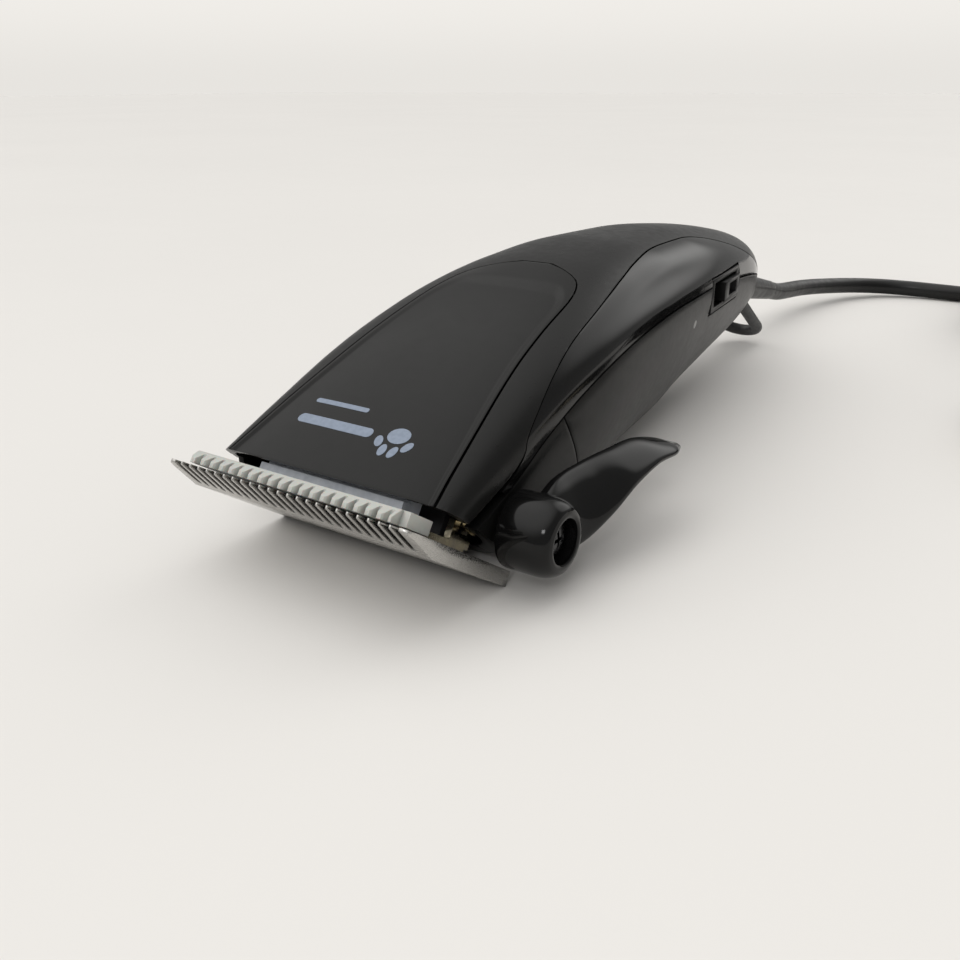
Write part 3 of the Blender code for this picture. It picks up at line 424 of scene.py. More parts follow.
def dress(obj, look, body="housing", stands_for=(), bevel=0.0, steps=2, sharp=32):
    """Rounds the edges, shades, paints and attaches a piece."""
    if bevel:
        rim = obj.modifiers.new("rim", "BEVEL")
        rim.width, rim.segments = bevel * MM, steps
        rim.limit_method, rim.angle_limit = "ANGLE", math.radians(sharp)
        apply_modifiers(obj)
    obj.data.materials.clear()
    obj.data.materials.append(LOOKS[look])
    obj.data.shade_smooth()
    obj.data.set_sharp_from_angle(angle=math.radians(sharp))
    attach(obj, body)
    if stands_for:
        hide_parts(*stands_for)
    return obj


def circle(count):
    """Cosine and sine of evenly spaced angles, all the way round."""
    return [(math.cos(a), math.sin(a)) for a in np.linspace(0, 2 * math.pi, count + 1)[:-1]]


def arc(x, y, rx, ry, start, end, count):
    """Points of an elliptical arc from one angle to another."""
    return [(x + rx * math.cos(a), y + ry * math.sin(a)) for a in np.linspace(start, end, count)]


def sleeve(bm, rings):
    """Skins closed rings of equal count and returns their rows of vertices."""
    rows = [[bm.verts.new(p) for p in ring] for ring in rings]
    count = len(rows[0])
    for a, b in zip(rows[:-1], rows[1:]):
        for j in range(count):
            k = (j + 1) % count
            bm.faces.new((a[j], a[k], b[k], b[j]))
    return rows


def grid_shell(outer, inner):
    """Closed shell between two grids of the same shape."""
    bm = bmesh.new()
    rows = sleeve(bm, [np.concatenate([a, b[::-1]]) for a, b in zip(outer, inner)])
    count = len(rows[0])
    for row in (rows[0], rows[-1]):
        for j in range(count // 2 - 1):
            bm.faces.new((row[j], row[j + 1], row[count - 2 - j], row[count - 1 - j]))
    return bm


def loft(rings):
    """Solid through closed rings of equal count."""
    bm = bmesh.new()
    rows = sleeve(bm, rings)
    bm.faces.new(rows[0])
    bm.faces.new(rows[-1][::-1])
    return bm


def span(low, high):
    """A box between two opposite corners."""
    bm = bmesh.new()
    bmesh.ops.create_cube(bm, size=1.0)
    bmesh.ops.scale(bm, vec=[h - l for l, h in zip(low, high)], verts=bm.verts)
    bmesh.ops.translate(bm, vec=[(h + l) / 2 for l, h in zip(low, high)], verts=bm.verts)
    return bm


def turned(profile, start, direction, sides=48, ring=False):
    """Spin (radius, distance) points about an axis; a ring profile closes on itself."""
    bm = bmesh.new()
    points = [bm.verts.new((r, 0, h)) for r, h in profile]
    edges = [bm.edges.new(pair) for pair in zip(points[:-1], points[1:])]
    if ring:
        edges.append(bm.edges.new((points[-1], points[0])))
    bmesh.ops.spin(bm, geom=points + edges, cent=(0, 0, 0), axis=(0, 0, 1),
                   angle=2 * math.pi, steps=sides, use_merge=True)
    bmesh.ops.remove_doubles(bm, verts=bm.verts, dist=1e-4)
    turn = Vector((0, 0, 1)).rotation_difference(Vector(direction)).to_matrix().to_4x4()
    bmesh.ops.transform(bm, matrix=Matrix.Translation(start) @ turn, verts=bm.verts)
    return bm


def rod(radius, start, end):
    """A round bar between two points."""
    run = Vector(end) - Vector(start)
    return turned([(0, 0), (radius, 0), (radius, run.length), (0, run.length)], start, run)


def prism(outline, low, high, axes=(0, 1, 2)):
    """Extrude a flat outline; axes says which coordinates the outline and the depth take."""
    bm = bmesh.new()

    def at(point, depth):
        spot = [0.0, 0.0, 0.0]
        spot[axes[0]], spot[axes[1]], spot[axes[2]] = point[0], point[1], depth
        return spot

    face = bm.faces.new([bm.verts.new(at(p, low)) for p in outline])
    raised = bmesh.ops.extrude_face_region(bm, geom=[face])
    lift = [0.0, 0.0, 0.0]
    lift[axes[2]] = high - low
    bmesh.ops.translate(bm, vec=lift,
                        verts=[g for g in raised["geom"] if isinstance(g, bmesh.types.BMVert)])
    return bm


def rounded_path(corners, spacing):
    """Evenly spaced points on a Catmull-Rom curve through the corners."""
    pts = [Vector(c) for c in corners]
    pts = [2 * pts[0] - pts[1]] + pts + [2 * pts[-1] - pts[-2]]
    fine, steps = [], 24
    for i in range(1, len(pts) - 2):
        a, b, c, d = pts[i - 1:i + 3]
        for k in range(steps):
            t = k / steps
            fine.append(0.5 * ((2 * b) + (c - a) * t + (2 * a - 5 * b + 4 * c - d) * t * t
                               + (3 * b - 3 * c + d - a) * t ** 3))
    fine.append(pts[-2])
    run = [0.0]
    for a, b in zip(fine[:-1], fine[1:]):
        run.append(run[-1] + (b - a).length)
    even = []
    for d in np.linspace(0, run[-1], max(2, round(run[-1] / spacing) + 1)):
        i = min(max(int(np.searchsorted(run, d)) - 1, 0), len(fine) - 2)
        even.append(fine[i].lerp(fine[i + 1], (d - run[i]) / (run[i + 1] - run[i])))
    return even


# ---------- housing

def stations(start, end, count):
    """Stations packed closer towards both ends."""
    t = np.linspace(0, 1, count)
    return (start + (end - start) * (0.75 * t + 0.25 * (1 - np.cos(np.pi * t)) / 2))[:, None]


def lower_grids(start, end, count):
    """Outer and inner faces of the lower skin between two stations."""
    s = stations(start, end, count)
    phi = -np.radians(np.linspace(0, 180, 91))[None, :]
    # a hair under the seam, so that the rim takes the lower curve
    phi = np.where(phi == 0, -1e-9, phi)
    return (skin(s, phi, 0.0, SEAM_GAP, floor=0.0),
            skin(s, phi, shell_wall(s), SEAM_GAP))


def switch_window():
    """Cutter of the switch's opening, in the switch's own axes."""
    return span((-12, -10, -3.6), (8, 10, 3.6))


def hull():
    """Lower housing, behind the joint with the nose."""
    shell = solid("hull_lower", grid_shell(*lower_grids(NOSE_END + NOSE_GAP, TAIL_S, 110)))
    combine(shell, switch_window(), matrix=switch_matrix())
    combine(shell, rod(HOLE_R, (-30, POWER_SCREW_Y, POWER_SCREW_Z),
                       (-12, POWER_SCREW_Y, POWER_SCREW_Z)))
    # off the middle by a hair, so that no edge of the hole runs along the shell's middle edge
    aside = 0.06
    for y in HOUSING_SCREWS_Y:
        combine(shell, rod(HOLE_R, (aside, y, -3), (aside, y, 14)))
    dress(shell, "satin_hull", stands_for=["lower_housing"], bevel=0.22)


def nose():
    """Front end of the lower housing, ahead of a joint across it."""
    shell = solid("hull_nose", grid_shell(*lower_grids(FRONT_S, NOSE_END, 30)))
    combine(shell, rod(2.75, (12, HUB_Y, HUB_Z), (26, HUB_Y, HUB_Z)))
    # tongue inside the left wall, behind the front end of the seam
    tongue = [(10.2, 9.5), (10.2, 13.4), (16.5, 14.6), (16.5, 11.5)]
    combine(shell, prism(tongue, -18.5, -17.5, axes=(1, 2, 0)), "UNION")
    # room for the slide's travel, in the blade's axes
    for low, high in (((12.7, 21.5, 0.3), (14.8, 25.35, 3.4)),
                      ((-14.7, 21.6, 0.05), (-12.0, 24.3, 3.0))):
        combine(shell, span(low, high), matrix=head_matrix())
    dress(shell, "satin_hull", stands_for=["nose_housing"], bevel=0.22)


def cheeks():
    """Glossy moulding: full skin on the cheeks, sunk where the cover and the panel lie."""
    s = stations(FRONT_S, TAIL_S, 130)
    s = s[(s[:, 0] > UPPER_START) & (s[:, 0] < UPPER_END)]
    edge = cheek_top(s)
    cheek, crown = np.linspace(0, 1, 30)[None, :], np.linspace(0, 1, 40)[None, :]
    right, left = edge * cheek, 180 - edge * cheek[:, ::-1]
    middle = edge + (180 - 2 * edge) * crown
    phi = np.radians(np.concatenate([right, middle, left], 1))
    inset = np.concatenate([0 * right, 0 * middle + UPPER_OUT, 0 * left], 1)
    obj = solid("cheeks", grid_shell(skin(s, phi, inset, SEAM_GAP, gripped=True),
                                     skin(s, phi, UPPER_IN, SEAM_GAP)))
    combine(obj, switch_window(), matrix=switch_matrix())
    dress(obj, "gloss_black", stands_for=["upper_housing"], bevel=0.15)


def panel_grids(outer_inset, inner_inset, grow, across, along):
    """Outer and inner faces of the front inlay; with grow, of the cutter of its pocket."""
    s = np.linspace(FRONT_S, PANEL_EDGE[-1][0], along)
    shift = 0 * s
    if grow:
        s = np.concatenate([s[:1], s])
        shift = np.concatenate([[-3.0], 0 * s[1:]])
        shift[-1] = grow
    # degrees of section that a millimetre spans; most at the flat-sided front
    degrees_per_mm = 3.6 + 8.0 * np.exp(-(s - FRONT_S) / 10)
    edge = panel_edge(s) - grow * degrees_per_mm
    t = np.linspace(0, 1, across)[None, :]
    phi = np.radians(edge[:, None] + (180 - 2 * edge[:, None]) * t)
    if callable(outer_inset):
        outer_inset = outer_inset(s[:, None], phi)
    outer, inner = skin(s[:, None], phi, outer_inset), skin(s[:, None], phi, inner_inset)
    for grid in (outer, inner):
        grid[..., 1] += shift[:, None]
    return outer, inner


def dish(s, phi):
    """Depth of the shallow dish in the inlay, inside a border that is widest at its far end."""
    end, border, rounding, slope, deep = 53.6, 1.2, 9, 3.2, 0.42
    side = np.degrees(np.minimum(phi, np.pi - phi))
    inside = side - panel_edge(s) - border
    far = end - s
    corner = np.hypot(np.maximum(rounding - far, 0), np.maximum(rounding - inside, 0))
    depth = np.minimum(np.minimum(far, inside), rounding - corner)
    return deep * ease(0.0, slope, depth)


def cover_band():
    """Satin band over the top, cut back round the front inlay."""
    s = stations(FRONT_S, TAIL_S, 150)
    edge = cheek_top(s) + COVER_GAP_DEGREES
    phi = np.radians(edge + (180 - 2 * edge) * np.linspace(0, 1, 90)[None, :])
    cover = solid("cover_band", grid_shell(skin(s, phi, 0.0, SEAM_GAP),
                                           skin(s, phi, COVER_T, SEAM_GAP)))
    combine(cover, grid_shell(*panel_grids(-1.0, 2.4, 0.3, 41, 40)))
    dress(cover, "satin_cover", stands_for=["top_cover"], bevel=0.12)


def front_inlay():
    panel = solid("front_inlay", grid_shell(*panel_grids(dish, COVER_T, 0.0, 131, 120)))
    dress(panel, "satin_panel", stands_for=["front_panel"], bevel=0.12)


def hanging_eye():
    """Moulded eye under the tail: a round bar bent to a U."""
    bar, half, root, reach = 1.35, 4.6, -8.5, 11.0
    up = Vector((0, 0, 1))
    line = [Vector((-half, root, 0)), Vector((-half, reach - half, 0))]
    line += [Vector((x, y, 0))
             for x, y in arc(0, reach - half, half, half, math.pi, 0, 25)[1:-1]]
    line += [Vector((half, reach - half, 0)), Vector((half, root, 0))]
    rings = []
    for i, p in enumerate(line):
        along = (line[min(i + 1, len(line) - 1)] - line[max(i - 1, 0)]).normalized()
        out = along.cross(up)
        rings.append([p + bar * (out * c + up * s) for c, s in circle(20)])
    lay = Matrix.Translation((0, 153.6, 9.15)) @ Matrix.Rotation(math.radians(-32), 4, "X")
    dress(solid("hanging_eye", loft(rings), lay), "moulded_black",
          stands_for=["hanging_loop"])


# ---------- printed marks

INK_LOW, INK_HIGH = 0.005, 0.04      # faces of the printed film above the skin


class PanelSkin:
    """The inlay's dished skin as a height over (x, s), worked out once on a fine grid."""

    def __init__(self, start, end, half):
        self.rows = np.linspace(start, end, 90)
        self.columns = np.linspace(-half, half, 161)
        phi = np.radians(np.linspace(20, 160, 300))[None, :] + 0 * self.rows[:, None]
        along = self.rows[:, None] + 0 * phi
        points = skin(along, phi, dish(along, phi))
        self.y, self.z = [np.array([np.interp(self.columns, row[::-1, 0], row[::-1, i])
                                    for row in points]) for i in (1, 2)]

    def spot(self, x, s):
        i = (s - self.rows[0]) / (self.rows[1] - self.rows[0])
        j = (x - self.columns[0]) / (self.columns[1] - self.columns[0])
        a, b = int(i), int(j)
        i, j = i - a, j - b
        y, z = [float((grid[a, b] * (1 - j) + grid[a, b + 1] * j) * (1 - i)
                      + (grid[a + 1, b] * (1 - j) + grid[a + 1, b + 1] * j) * i)
                for grid in (self.y, self.z)]
        return Vector((x, y, z))

    def at(self, x, s):
        """The point at x across and s along, and the skin's outward direction there."""
        here = self.spot(x, s)
        out = (self.spot(x + 0.3, s) - here).cross(self.spot(x, s + 0.3) - here)
        return here, out.normalized()


def printed(name, outline, face):
    """A film of ink over an outline given as (x, s) points round its middle."""
    rings = 3
    middle = np.mean(outline, axis=0)
    bm = bmesh.new()

    def lifted(place, lift):
        here, out = face.at(*place)
        return bm.verts.new(here + out * lift)

    levels = []
    for lift in (INK_LOW, INK_HIGH):
        rows = [[lifted(middle + (np.array(p) - middle) * k / rings, lift) for p in outline]
                for k in range(1, rings + 1)]
        levels.append((lifted(middle, lift), rows))
    count = len(outline)
    for centre, rows in levels:
        for j in range(count):
            k = (j + 1) % count
            bm.faces.new((centre, rows[0][j], rows[0][k]))
            for a, b in zip(rows[:-1], rows[1:]):
                bm.faces.new((a[j], b[j], b[k], a[k]))
    low, high = levels[0][1][-1], levels[1][1][-1]
    for j in range(count):
        k = (j + 1) % count
        bm.faces.new((low[j], low[k], high[k], high[j]))
    dress(solid(name, bm), "pale_blue_ink")


def oval(x, s, wide, long, lean, sides):
    """Outline of an oval; lean turns it, in degrees."""
    c, d = math.cos(math.radians(lean)), math.sin(math.radians(lean))
    return [(x + wide * p * c - long * q * d, s + wide * p * d + long * q * c)
            for p, q in circle(sides)]


def bar_outline(x0, x1, s, half):
    """A stroke with round ends."""
    right = arc(x1, s, half, half, -math.pi / 2, math.pi / 2, 9)
    left = arc(x0, s, half, half, math.pi / 2, 3 * math.pi / 2, 9)
    top = [(x, s + half) for x in np.linspace(x1, x0, 9)[1:-1]]
    low = [(x, s - half) for x in np.linspace(x0, x1, 9)[1:-1]]
    return right + top + left + low


def emblem():
    """A plain paw and two stripes, seen upright from the tail."""
    face = PanelSkin(8.5, 30.0, 15.0)
    paw_x, paw_s = 6.2, 15.4
    printed("print_pad", oval(paw_x, paw_s + 0.4, 1.75, 1.3, 0, 22), face)
    for i, (dx, ds, lean) in enumerate(((-2.35, -1.0, 30), (-0.85, -2.2, 10),
                                        (0.85, -2.2, -10), (2.35, -1.0, -30))):
        printed("print_toe_%d" % i, oval(paw_x + dx, paw_s + ds, 0.62, 0.95, lean, 16), face)
    printed("print_stripe_wide", bar_outline(-10.5, 1.4, 15.2, 0.75), face)
    printed("print_stripe_thin", bar_outline(-10.5, -1.6, 18.6, 0.38), face)


def switch_dot():
    """Small printed dot on the side, ahead of the switch."""
    s, phi = np.array(86.5), np.array(math.radians(-11.6))
    here = Vector(skin(s, phi))
    out = (Vector(skin(s + 0.5, phi)) - here).cross(Vector(skin(s, phi + 0.02)) - here)
    out = -out.normalized() if out.x < 0 else out.normalized()
    obj = solid("switch_dot", turned([(0, -0.2), (0.75, -0.2), (0.75, 0.02), (0.65, 0.06),
                                      (0, 0.06)], here, out, 28))
    dress(obj, "white_ink")


# ---------- cutting head

def tooth_outline(half, teeth, root, length, start, end_tooth, tip_half, root_half):
    """Outline of a toothed plate: tapered teeth, round slot ends and a wide tooth at each end."""
    pitch = (2 * half - 2 * end_tooth) / (teeth - 1.5)
    first = -half + end_tooth + pitch * 0.75
    centres = [first + i * pitch for i in range(teeth - 2)]
    corner = [(half - 0.9, start), (half - 0.35, start + 0.35), (half, start + 1.3),
              (half, length)]
    outline = [(-x, u) for x, u in corner[::-1]] + [(-half + end_tooth - 0.1, start)]
    previous = -half + end_tooth
    for c in centres + [None]:
        following = half - end_tooth if c is None else c - root_half
        radius = (following - previous) / 2
        middle, straight = (previous + following) / 2, root - radius
        outline.append((previous, straight))
        outline += arc(middle, straight, -radius, radius, 0, math.pi, 6)[1:-1]
        outline.append((following, straight))
        if c is not None:
            outline += [(c - tip_half, start + 0.25), (c - tip_half * 0.6, start),
                        (c + tip_half * 0.6, start), (c + tip_half, start + 0.25)]
            previous = c + root_half
    return outline + [(half - end_tooth + 0.1, start)] + corner


def ground_comb(outline, low, thickness, root, start, tip, from_below):
    """Extrudes a comb and grinds its teeth down to the tip thickness, from root to start."""
    bm = prism(outline, low, low + thickness)
    for u in (root, start + (root - start) * 0.5):
        bmesh.ops.bisect_plane(bm, geom=bm.verts[:] + bm.edges[:] + bm.faces[:], dist=1e-5,
                               plane_co=(0, u, 0), plane_no=(0, 1, 0))
    for v in bm.verts:
        below = v.co.z < low + thickness / 2
        if v.co.y < root - 1e-4 and below == from_below:
            ground = (thickness - tip) * (1 - (v.co.y - start) / (root - start))
            v.co.z += ground if below else -ground
    return bm


def comb_blade():
    """Steel comb with two countersinks from below."""
    head = head_matrix()
    outline = tooth_outline(BLADE_HALF, BLADE_TEETH, SLOT_ROOT, BLADE_L, start=0.0,
                            end_tooth=1.6, tip_half=0.2, root_half=0.42)
    comb = solid("comb_blade", ground_comb(outline, -BLADE_T, BLADE_T, root=6.2, start=0.0,
                                           tip=0.42, from_below=True), head)
    for side in (-1, 1):
        sunk = turned([(0, -1.0), (3.6, -1.0), (1.7, 0.95), (1.7, 4.0), (0, 4.0)],
                      (side * SCREW_X, SCREW_U, -BLADE_T), (0, 0, 1), 47)
        combine(comb, sunk, matrix=head)
    dress(comb, "ground_steel", stands_for=["fixed_blade"], bevel=0.09,
          sharp=24)


def ceramic_cutter():
    """Pale cutter on the comb, with a tongue under its carrier and one short end tooth."""
    head = head_matrix()
    outline = tooth_outline(CUTTER_HALF, CUTTER_TEETH, CUTTER_ROOT, CUTTER_HEEL, CUTTER_TIPS,
                            end_tooth=1.6, tip_half=0.5, root_half=0.64)
    cutter = solid("ceramic_cutter",
                   ground_comb(outline, CUTTER_LIFT, CUTTER_T, root=2.4, start=CUTTER_TIPS,
                               tip=0.7, from_below=False), head)
    tongue = span((-11, CUTTER_HEEL - 0.7, CUTTER_LIFT + 0.05),
                  (11, CUTTER_HEEL + 3.0, CUTTER_LIFT + CUTTER_T - 0.05))
    combine(cutter, tongue, "UNION", head)
    combine(cutter, span((16.9, -2, -1), (19, 2.7, 4)), matrix=head)
    dress(cutter, "ceramic", "cutter", ["moving_blade"], 0.16, 3, 24)


# ---------- taper lever

def leaf():
    """Twisted leaf: on edge at the hub, laid over and thinned towards the finger tip."""
    # centre x, y, z, half length across, half thickness, turn of the long axis from +X
    stops = [(24.6, 23.2, 8.87, 4.3, 2.3, -84), (25.3, 26.9, 9.5, 4.85, 2.0, -68),
             (26.4, 32.2, 11.0, 4.3, 1.6, -47), (27.3, 38.1, 12.5, 3.5, 1.3, -30),
             (27.8, 44.4, 13.0, 3.0, 1.05, -24), (28.4, 49.8, 12.3, 2.5, 0.8, -18),
             (28.9, 53.7, 11.3, 0.9, 0.5, -13)]
    columns = [smooth([(i, stop[j]) for i, stop in enumerate(stops)]) for j in range(6)]
    rings = []
    for t in np.linspace(0, len(stops) - 1, 60):
        x, y, z, long, thick, turn = [float(column(t)) for column in columns]
        turn = math.radians(turn)
        ring = []
        for c, s in circle(36):
            p, q = long * c, thick * math.copysign(abs(s) ** 0.85, s)
            ring.append((x + p * math.cos(turn) - q * math.sin(turn), y,
                         z + p * math.sin(turn) + q * math.cos(turn)))
        rings.append(ring)
    return loft(rings)


def phillips(radius, depth, face):
    """A cross recess that narrows with depth, cut along local z from the face."""
    long, thin = radius, radius * 0.2
    arm = [(-long, -thin), (-thin, -thin), (-thin, -long)]
    quarters = (1, 0), (0, 1), (-1, 0), (0, -1)
    outline = [(x * c - y * s, x * s + y * c) for c, s in quarters for x, y in arm]
    bm = prism(outline, face - depth, face + 1.0)
    for v in bm.verts:
        if v.co.z < face:
            v.co.x *= 0.55
            v.co.y *= 0.55
    return bm


def thread(crest_r, root_r, crest, root, pitch, count):
    """Ridges of a thread as (radius, distance) points."""
    return [point for k in range(count)
            for point in ((crest_r, crest + k * pitch), (root_r, root + k * pitch))]


def screw(name, stands_for, at, direction, head_r, head_h, shank_r, shank_l, look, body="housing"):
    """Pan-head screw; `at` is under its head and the shank runs along the direction."""
    dome = [(head_r * math.sin(a), -head_h * (0.35 + 0.65 * math.cos(a)))
            for a in np.linspace(0.05, math.pi / 2, 8)]
    pitch = 0.7
    profile = [(0, -head_h)] + dome + [(head_r, -0.05), (head_r - 0.05, 0), (shank_r, 0)]
    profile += thread(shank_r, shank_r * 0.82, 0.3, 0.65, pitch, int((shank_l - 1.2) / pitch))
    profile += [(shank_r * 0.8, shank_l - 0.8), (0, shank_l)]
    obj = solid(name, turned(profile, at, direction, 40))
    turn = Vector((0, 0, 1)).rotation_difference(-Vector(direction)).to_matrix().to_4x4()
    combine(obj, phillips(head_r * 0.62, head_h * 0.75, head_h), matrix=Matrix.Translation(at) @ turn)
    dress(obj, look, body, [stands_for], 0.05, 1)


def taper_lever():
    """Round hub with a recess for its screw, joined to the leaf; profiles are (radius, x)."""
    pivot, across = (0, HUB_Y, HUB_Z), (1, 0, 0)
    steps = [(3.05, 26.0), (1.7, 26.0), (1.7, 25.1), (2.65, 25.1)]
    hub = [(2.65, 21.2), (4.9, 21.2), (5.2, 21.35), (5.3, 21.8), (5.3, 25.2)]
    hub += arc(3.85, 25.6, 1.45, 3.2, 0.1, math.pi / 2, 12)
    hub += [(3.7, 28.88), (3.3, 28.86), (3.1, 28.7), (3.05, 28.3)] + steps
    obj = solid("taper_lever_moulding", turned(hub, pivot, across, 72, True))
    combine(obj, leaf(), "UNION")
    bore = [(0, 20.5), (2.65, 20.5)] + steps[::-1] + [(3.05, 29.5), (0, 29.5)]
    combine(obj, turned(bore, pivot, across, 72))
    dress(obj, "gloss_black", "lever", ["taper_lever"], 0.1, 2, 38)
    screw("lever_cross_screw", "lever_screw", (26.2, HUB_Y, HUB_Z), (-1, 0, 0), 2.7, 1.5, 1.2, 6.8,
          "blackened_steel", "lever")


def blade_screws():
    """Countersunk screws flush in the comb's underside."""
    head = head_matrix()
    profile = [(0, 0), (2.15, 0), (2.2, 0.06), (2.2, 0.14), (1.4, 0.95)]
    profile += thread(1.4, 1.15, 1.0, 1.4, 0.75, 7) + [(1.1, 6.5), (0.5, 7.3), (0, 7.3)]
    for name, side in (("left", -1), ("right", 1)):
        at = Vector((side * SCREW_X, SCREW_U, -BLADE_T + 0.05))
        obj = solid("blade_flush_screw_" + name, turned(profile, at, (0, 0, 1), 40), head)
        flip = Matrix.Translation(at) @ Matrix.Rotation(math.pi, 4, "X")
        combine(obj, phillips(1.4, 0.65, 0.0), matrix=head @ flip)
        dress(obj, "zinc", stands_for=["blade_screw_" + name], bevel=0.04,
              steps=1)


def housing_screws():
    for name, y, z in zip(("front", "rear"), HOUSING_SCREWS_Y, (2.4, 8.4)):
        screw("hull_screw_" + name, "housing_screw_" + name, (0, y, z), (0, 0, 1),
              2.7, 1.6, 1.4, 7.0, "zinc")


# ---------- switch

def switch():
    """Sunk frame and the slider in it, with a finger pocket."""
    lay = switch_matrix()
    surround = solid("switch_surround", span((-2.0, -9.6, -3.2), (-0.12, 9.6, 3.2)), lay)
    combine(surround, span((-5, -7.5, -2.2), (3, 7.5, 2.2)), matrix=lay)
    dress(surround, "satin_hull", stands_for=["switch_frame"], bevel=0.25,
          steps=3)
    knob = solid("switch_knob_moulding", span((-1.8, -3.4, -1.85), (0.75, 7.1, 1.85)), lay)
    combine(knob, span((-0.9, -0.2, -1.15), (1.5, 4.6, 1.15)), matrix=lay)
    dress(knob, "satin_hull", "switch_knob", ["switch_slider"], 0.14, 2)


# ---------- lead

def relief():
    """Smooth sleeve where the lead leaves the tail; the profile is (radius, distance out)."""
    profile = [(0, -9.0), (3.6, -9.0), (3.6, -6.2), (2.75, -6.0), (2.75, 1.5), (2.84, 1.6),
               (2.9, 2.0), (2.88, 5.0), (2.85, 8.0), (2.7, 14.0), (2.5, 20.0),
               (2.42, RELIEF_OUT - 0.5), (2.3, RELIEF_OUT), (0, RELIEF_OUT)]
    obj = solid("cord_sleeve", turned(profile, EXIT_AT, exit_axis(), 40))
    dress(obj, "cord", stands_for=["strain_relief"], bevel=0.08)


def coil_path():
    """Two turns side by side, then the next layer on them, and so on up the bundle."""
    pitch, low, climb = 4.54, CORD_R + 0.05, 4.52
    turns, per_turn, shift_from = 12.306, 36, 0.62
    places = [(0.5 if n % 4 in (0, 3) else -0.5, n // 2) for n in range(int(turns) + 2)]
    points = []
    for k in range(int(turns * per_turn) + 1):
        n, part = divmod(k / per_turn, 1.0)
        move = float(ease(shift_from, 1.0, part))
        lane, level = [here + (after - here) * move
                       for here, after in zip(places[int(n)], places[int(n) + 1])]
        angle = math.pi / 2 - 2 * math.pi * k / per_turn
        radius = COIL_R + lane * pitch
        points.append(Vector((COIL_AT[0] + radius * math.cos(angle),
                              COIL_AT[1] + radius * math.sin(angle), low + level * climb)))
    return points


def cord_line():
    """The lead's middle line: out to the coil, round it, and over its top down to the plug."""
    start, onward = [Vector(EXIT_AT) + exit_axis() * (RELIEF_OUT + d) for d in (0.3, 10)]
    route = [start, onward, (0.6, 209.0, 6.6), (4.2, 225.0, 4.9), (11.0, 238.0, 3.6),
             (21.0, 245.0, 2.8), (36.0, 247.3, CORD_R + 0.1), (48.0, 246.3, CORD_R + 0.05),
             (60.0, 243.7, CORD_R + 0.05)]
    turns = coil_path()
    px, py = PLUG_AT
    over = turns[-1].z + 0.3
    fall = over - PLUG_Z
    drop = [(88.4, 207.6, over), (86.1, 200.8, over), (83.3, 190.0, over - fall * 0.15),
            (80.9, 179.0, over - fall * 0.5), (79.2, 168.0, over - fall * 0.85),
            (px, py + 4, PLUG_Z), (px, py - 1, PLUG_Z)]
    spacing = 2.5
    line = rounded_path(route + turns[:1], spacing)[:-1] + turns[:-1]
    return line + rounded_path([turns[-1]] + drop, spacing)


def cord():
    line = cord_line()
    curve = bpy.data.curves.new("mains_cord", "CURVE")
    curve.dimensions = "3D"
    curve.bevel_depth = CORD_R * MM
    curve.bevel_resolution = 7
    curve.use_fill_caps = True
    spline = curve.splines.new("POLY")
    spline.points.add(len(line) - 1)
    for slot, point in zip(spline.points, line):
        slot.co = (*world(point), 1)
    spline.use_smooth = True
    curve.materials.append(LOOKS["cord"])
    obj = added("mains_cord", curve)
    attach(obj, "housing")
    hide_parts("cord_tube", "cord_coil", "cord_end")
    with_pieces = [cord_tie(), *plug()]


def cord_tie():
    """A releasable strap round the bundle, with its buckle on top."""
    x, y = COIL_AT
    middle, half_bundle, top = y - COIL_R, 4.9, 32.2
    outer, inner = middle - half_bundle, middle + half_bundle
    strap = solid("tie_strap", span((x - 2, outer - 0.9, 0.0), (x + 2, inner + 0.9, top + 0.9)))
    combine(strap, span((x - 5, outer - 0.1, 0.12), (x + 5, inner + 0.1, top)))
    combine(strap, span((x - 2.6, middle - 2.2, top + 0.2), (x + 2.6, middle + 2.2, top + 2.0)),
            "UNION")
    return dress(strap, "moulded_black", stands_for=["cord_tie"], bevel=0.1)


def plug():
    """Two-pole plug: a waisted body with finger grooves, and two round pins."""
    (x, y), mid = PLUG_AT, PLUG_Z
    width = smooth([(0, 3.2), (4, 4.0), (10, 7.3), (18, 12.4), (26, 17.0), (31, 17.5), (36, 17.3)])
    height = smooth([(0, 3.2), (4, 4.1), (10, 5.5), (18, 6.5), (26, 6.8), (36, 6.8)])
    rings = []
    for run in np.linspace(0, 36, 73):
        groove = 0.35 * max(0.0, math.sin((run - 12) / 12 * 5 * math.pi)) * (12 < run < 24)
        ring = []
        for c, s in circle(48):
            ring.append((x + float(width(run)) * math.copysign(abs(c) ** 0.62, c), y - run,
                         mid + (float(height(run)) - groove) * math.copysign(abs(s) ** 0.62, s)))
        rings.append(ring)
    body = dress(solid("plug_moulding", loft(rings)), "moulded_black", stands_for=["plug_body"],
                 bevel=0.4, steps=3, sharp=60)
    made = [body]
    for name, side in (("left", -1), ("right", 1)):
        pin = [(0, 0), (1.9, 0), (2.0, 0.1), (2.0, 17.4), (1.8, 18.3), (1.3, 18.85), (0, 19.0)]
        obj = solid("mains_pin_" + name, turned(pin, (x + side * 9.0, y - 36.3, mid), (0, -1, 0)))
        made.append(dress(obj, "nickel", stands_for=["plug_pin_" + name]))
    return made


# ---------- carried-over nodes

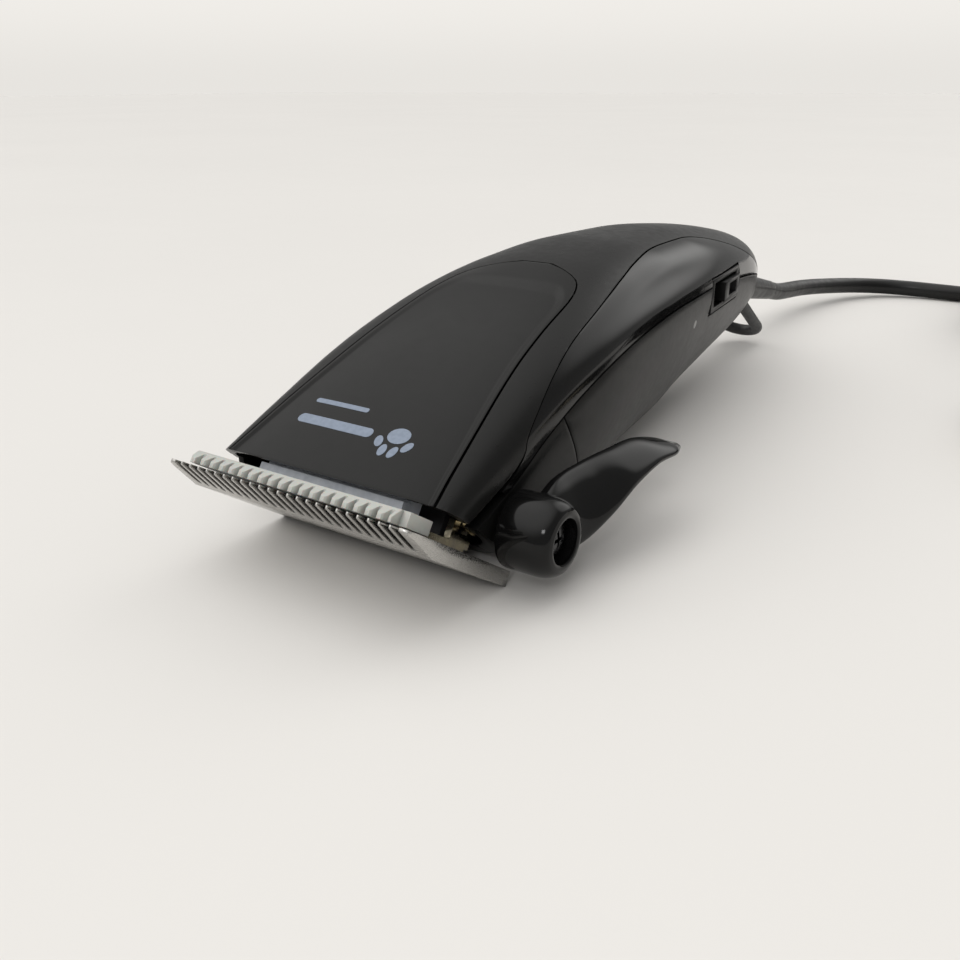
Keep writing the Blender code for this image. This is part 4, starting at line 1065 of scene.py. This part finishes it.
def dress_nodes():
    """Looks for the CAD's own solids that are shown as they are."""
    looks = {
        "inner_plastic": ["blade_seat", "coil_former", "switch_body", "cord_clamp"],
        "spring_steel": ["armature_arm"],
        "nickel": ["blade_slide", "blade_tension_spring", "lever_shaft", "switch_tag_front",
                   "switch_tag_rear"],
        "grey_plastic": ["cutter_carrier", "drive_finger"],
        "laminations": ["stator_core", "armature_core", "arm_bracket"],
        "copper": ["coil_winding"],
        "zinc": ["arm_pivot_pin", "armature_rivet_front", "armature_rivet_rear",
                 "clamp_screw_left", "clamp_screw_right"],
        "cord": ["cord_inner"],
        "red_wire": ["lead_wire_live"],
        "blue_wire": ["lead_wire_neutral"],
    }
    for look, names in looks.items():
        for name in names:
            obj = nodes[name]
            for place in obj.material_slots:
                place.material = LOOKS[look]
            if look in ("inner_plastic", "grey_plastic", "nickel", "laminations"):
                rim = obj.modifiers.new("rim", "BEVEL")
                rim.width, rim.segments, rim.limit_method = 0.1 * MM, 2, "ANGLE"


# ---------- surroundings

def stage():
    """White table, a weak lamp in front, and the studio's light."""
    bm = bmesh.new()
    bmesh.ops.create_grid(bm, x_segments=2, y_segments=2, size=6000.0)
    floor = solid("floor", bm)
    table = Look("table_white", FLOOR_PAINT, 0.7, IOR=1.3)
    table.vary_colour(0.25, FLOOR_PAINT, [0.985 * c for c in FLOOR_PAINT])
    table.vary_roughness(0.02, 0.65, 0.75)
    floor.data.materials.append(table.made)
    data = bpy.data.lights.new("front", "AREA")
    data.shape = "RECTANGLE"
    data.size, data.size_y = FRONT_LAMP_SIZE
    data.energy = FRONT_LAMP_WATTS
    light = added("front", data)
    light.location = FRONT_LAMP_AT
    light.rotation_mode = "QUATERNION"
    light.rotation_quaternion = (-light.location).to_track_quat("-Z", "Y")
    studio()
    bpy.context.scene.view_settings.view_transform = "Standard"


def studio():
    """A large soft light overhead, a narrow one behind, dim walls, and a plain backdrop."""
    sky = bpy.data.worlds.new("studio")
    bpy.context.scene.world = sky
    sky.use_nodes = True
    tree = sky.node_tree
    tree.nodes.clear()
    aim = add_node(tree, "ShaderNodeTexCoord").outputs["Generated"]

    def softbox(side, reach, level):
        """Light that rises towards one direction."""
        facing = add_node(tree, "ShaderNodeVectorMath", [(0, aim)], operation="DOT_PRODUCT")
        facing.inputs[1].default_value = side
        rise = add_node(tree, "ShaderNodeMapRange", [("Value", facing.outputs["Value"])],
                        interpolation_type="SMOOTHSTEP", From_Min=reach[0], From_Max=reach[1],
                        To_Max=level)
        return rise.outputs["Result"]

    def raised(base, source):
        """The source added to an even base."""
        total = add_node(tree, "ShaderNodeMath", [(0, source)], operation="ADD")
        total.inputs[1].default_value = base
        return total.outputs[0]

    def background(colour, strength):
        made = add_node(tree, "ShaderNodeBackground", [("Strength", strength)],
                        Color=(*colour, 1))
        return made.outputs[0]

    boxes = add_node(tree, "ShaderNodeMath", [(0, softbox(MAIN_SIDE, MAIN_RANGE, MAIN_LEVEL)),
                                              (1, softbox(STRIP_SIDE, STRIP_RANGE, STRIP_LEVEL))],
                     operation="ADD")
    light = background((1.0, 0.99, 0.97), raised(SKY_BASE, boxes.outputs[0]))
    paler_upward = raised(1.0, softbox((0, 0, 1), (0.0, 0.08), 0.09))
    backdrop = background(BACKDROP, paler_upward)
    seen = add_node(tree, "ShaderNodeLightPath").outputs["Is Camera Ray"]
    mixed = add_node(tree, "ShaderNodeMixShader", [("Fac", seen), (1, light), (2, backdrop)])
    add_node(tree, "ShaderNodeOutputWorld", [("Surface", mixed.outputs[0])])


add_camera()
LOOKS = make_looks()
relief()
cord()
hull()
nose()
cheeks()
cover_band()
front_inlay()
hanging_eye()
emblem()
switch_dot()
comb_blade()
ceramic_cutter()
taper_lever()
blade_screws()
housing_screws()
switch()
dress_nodes()
stage()
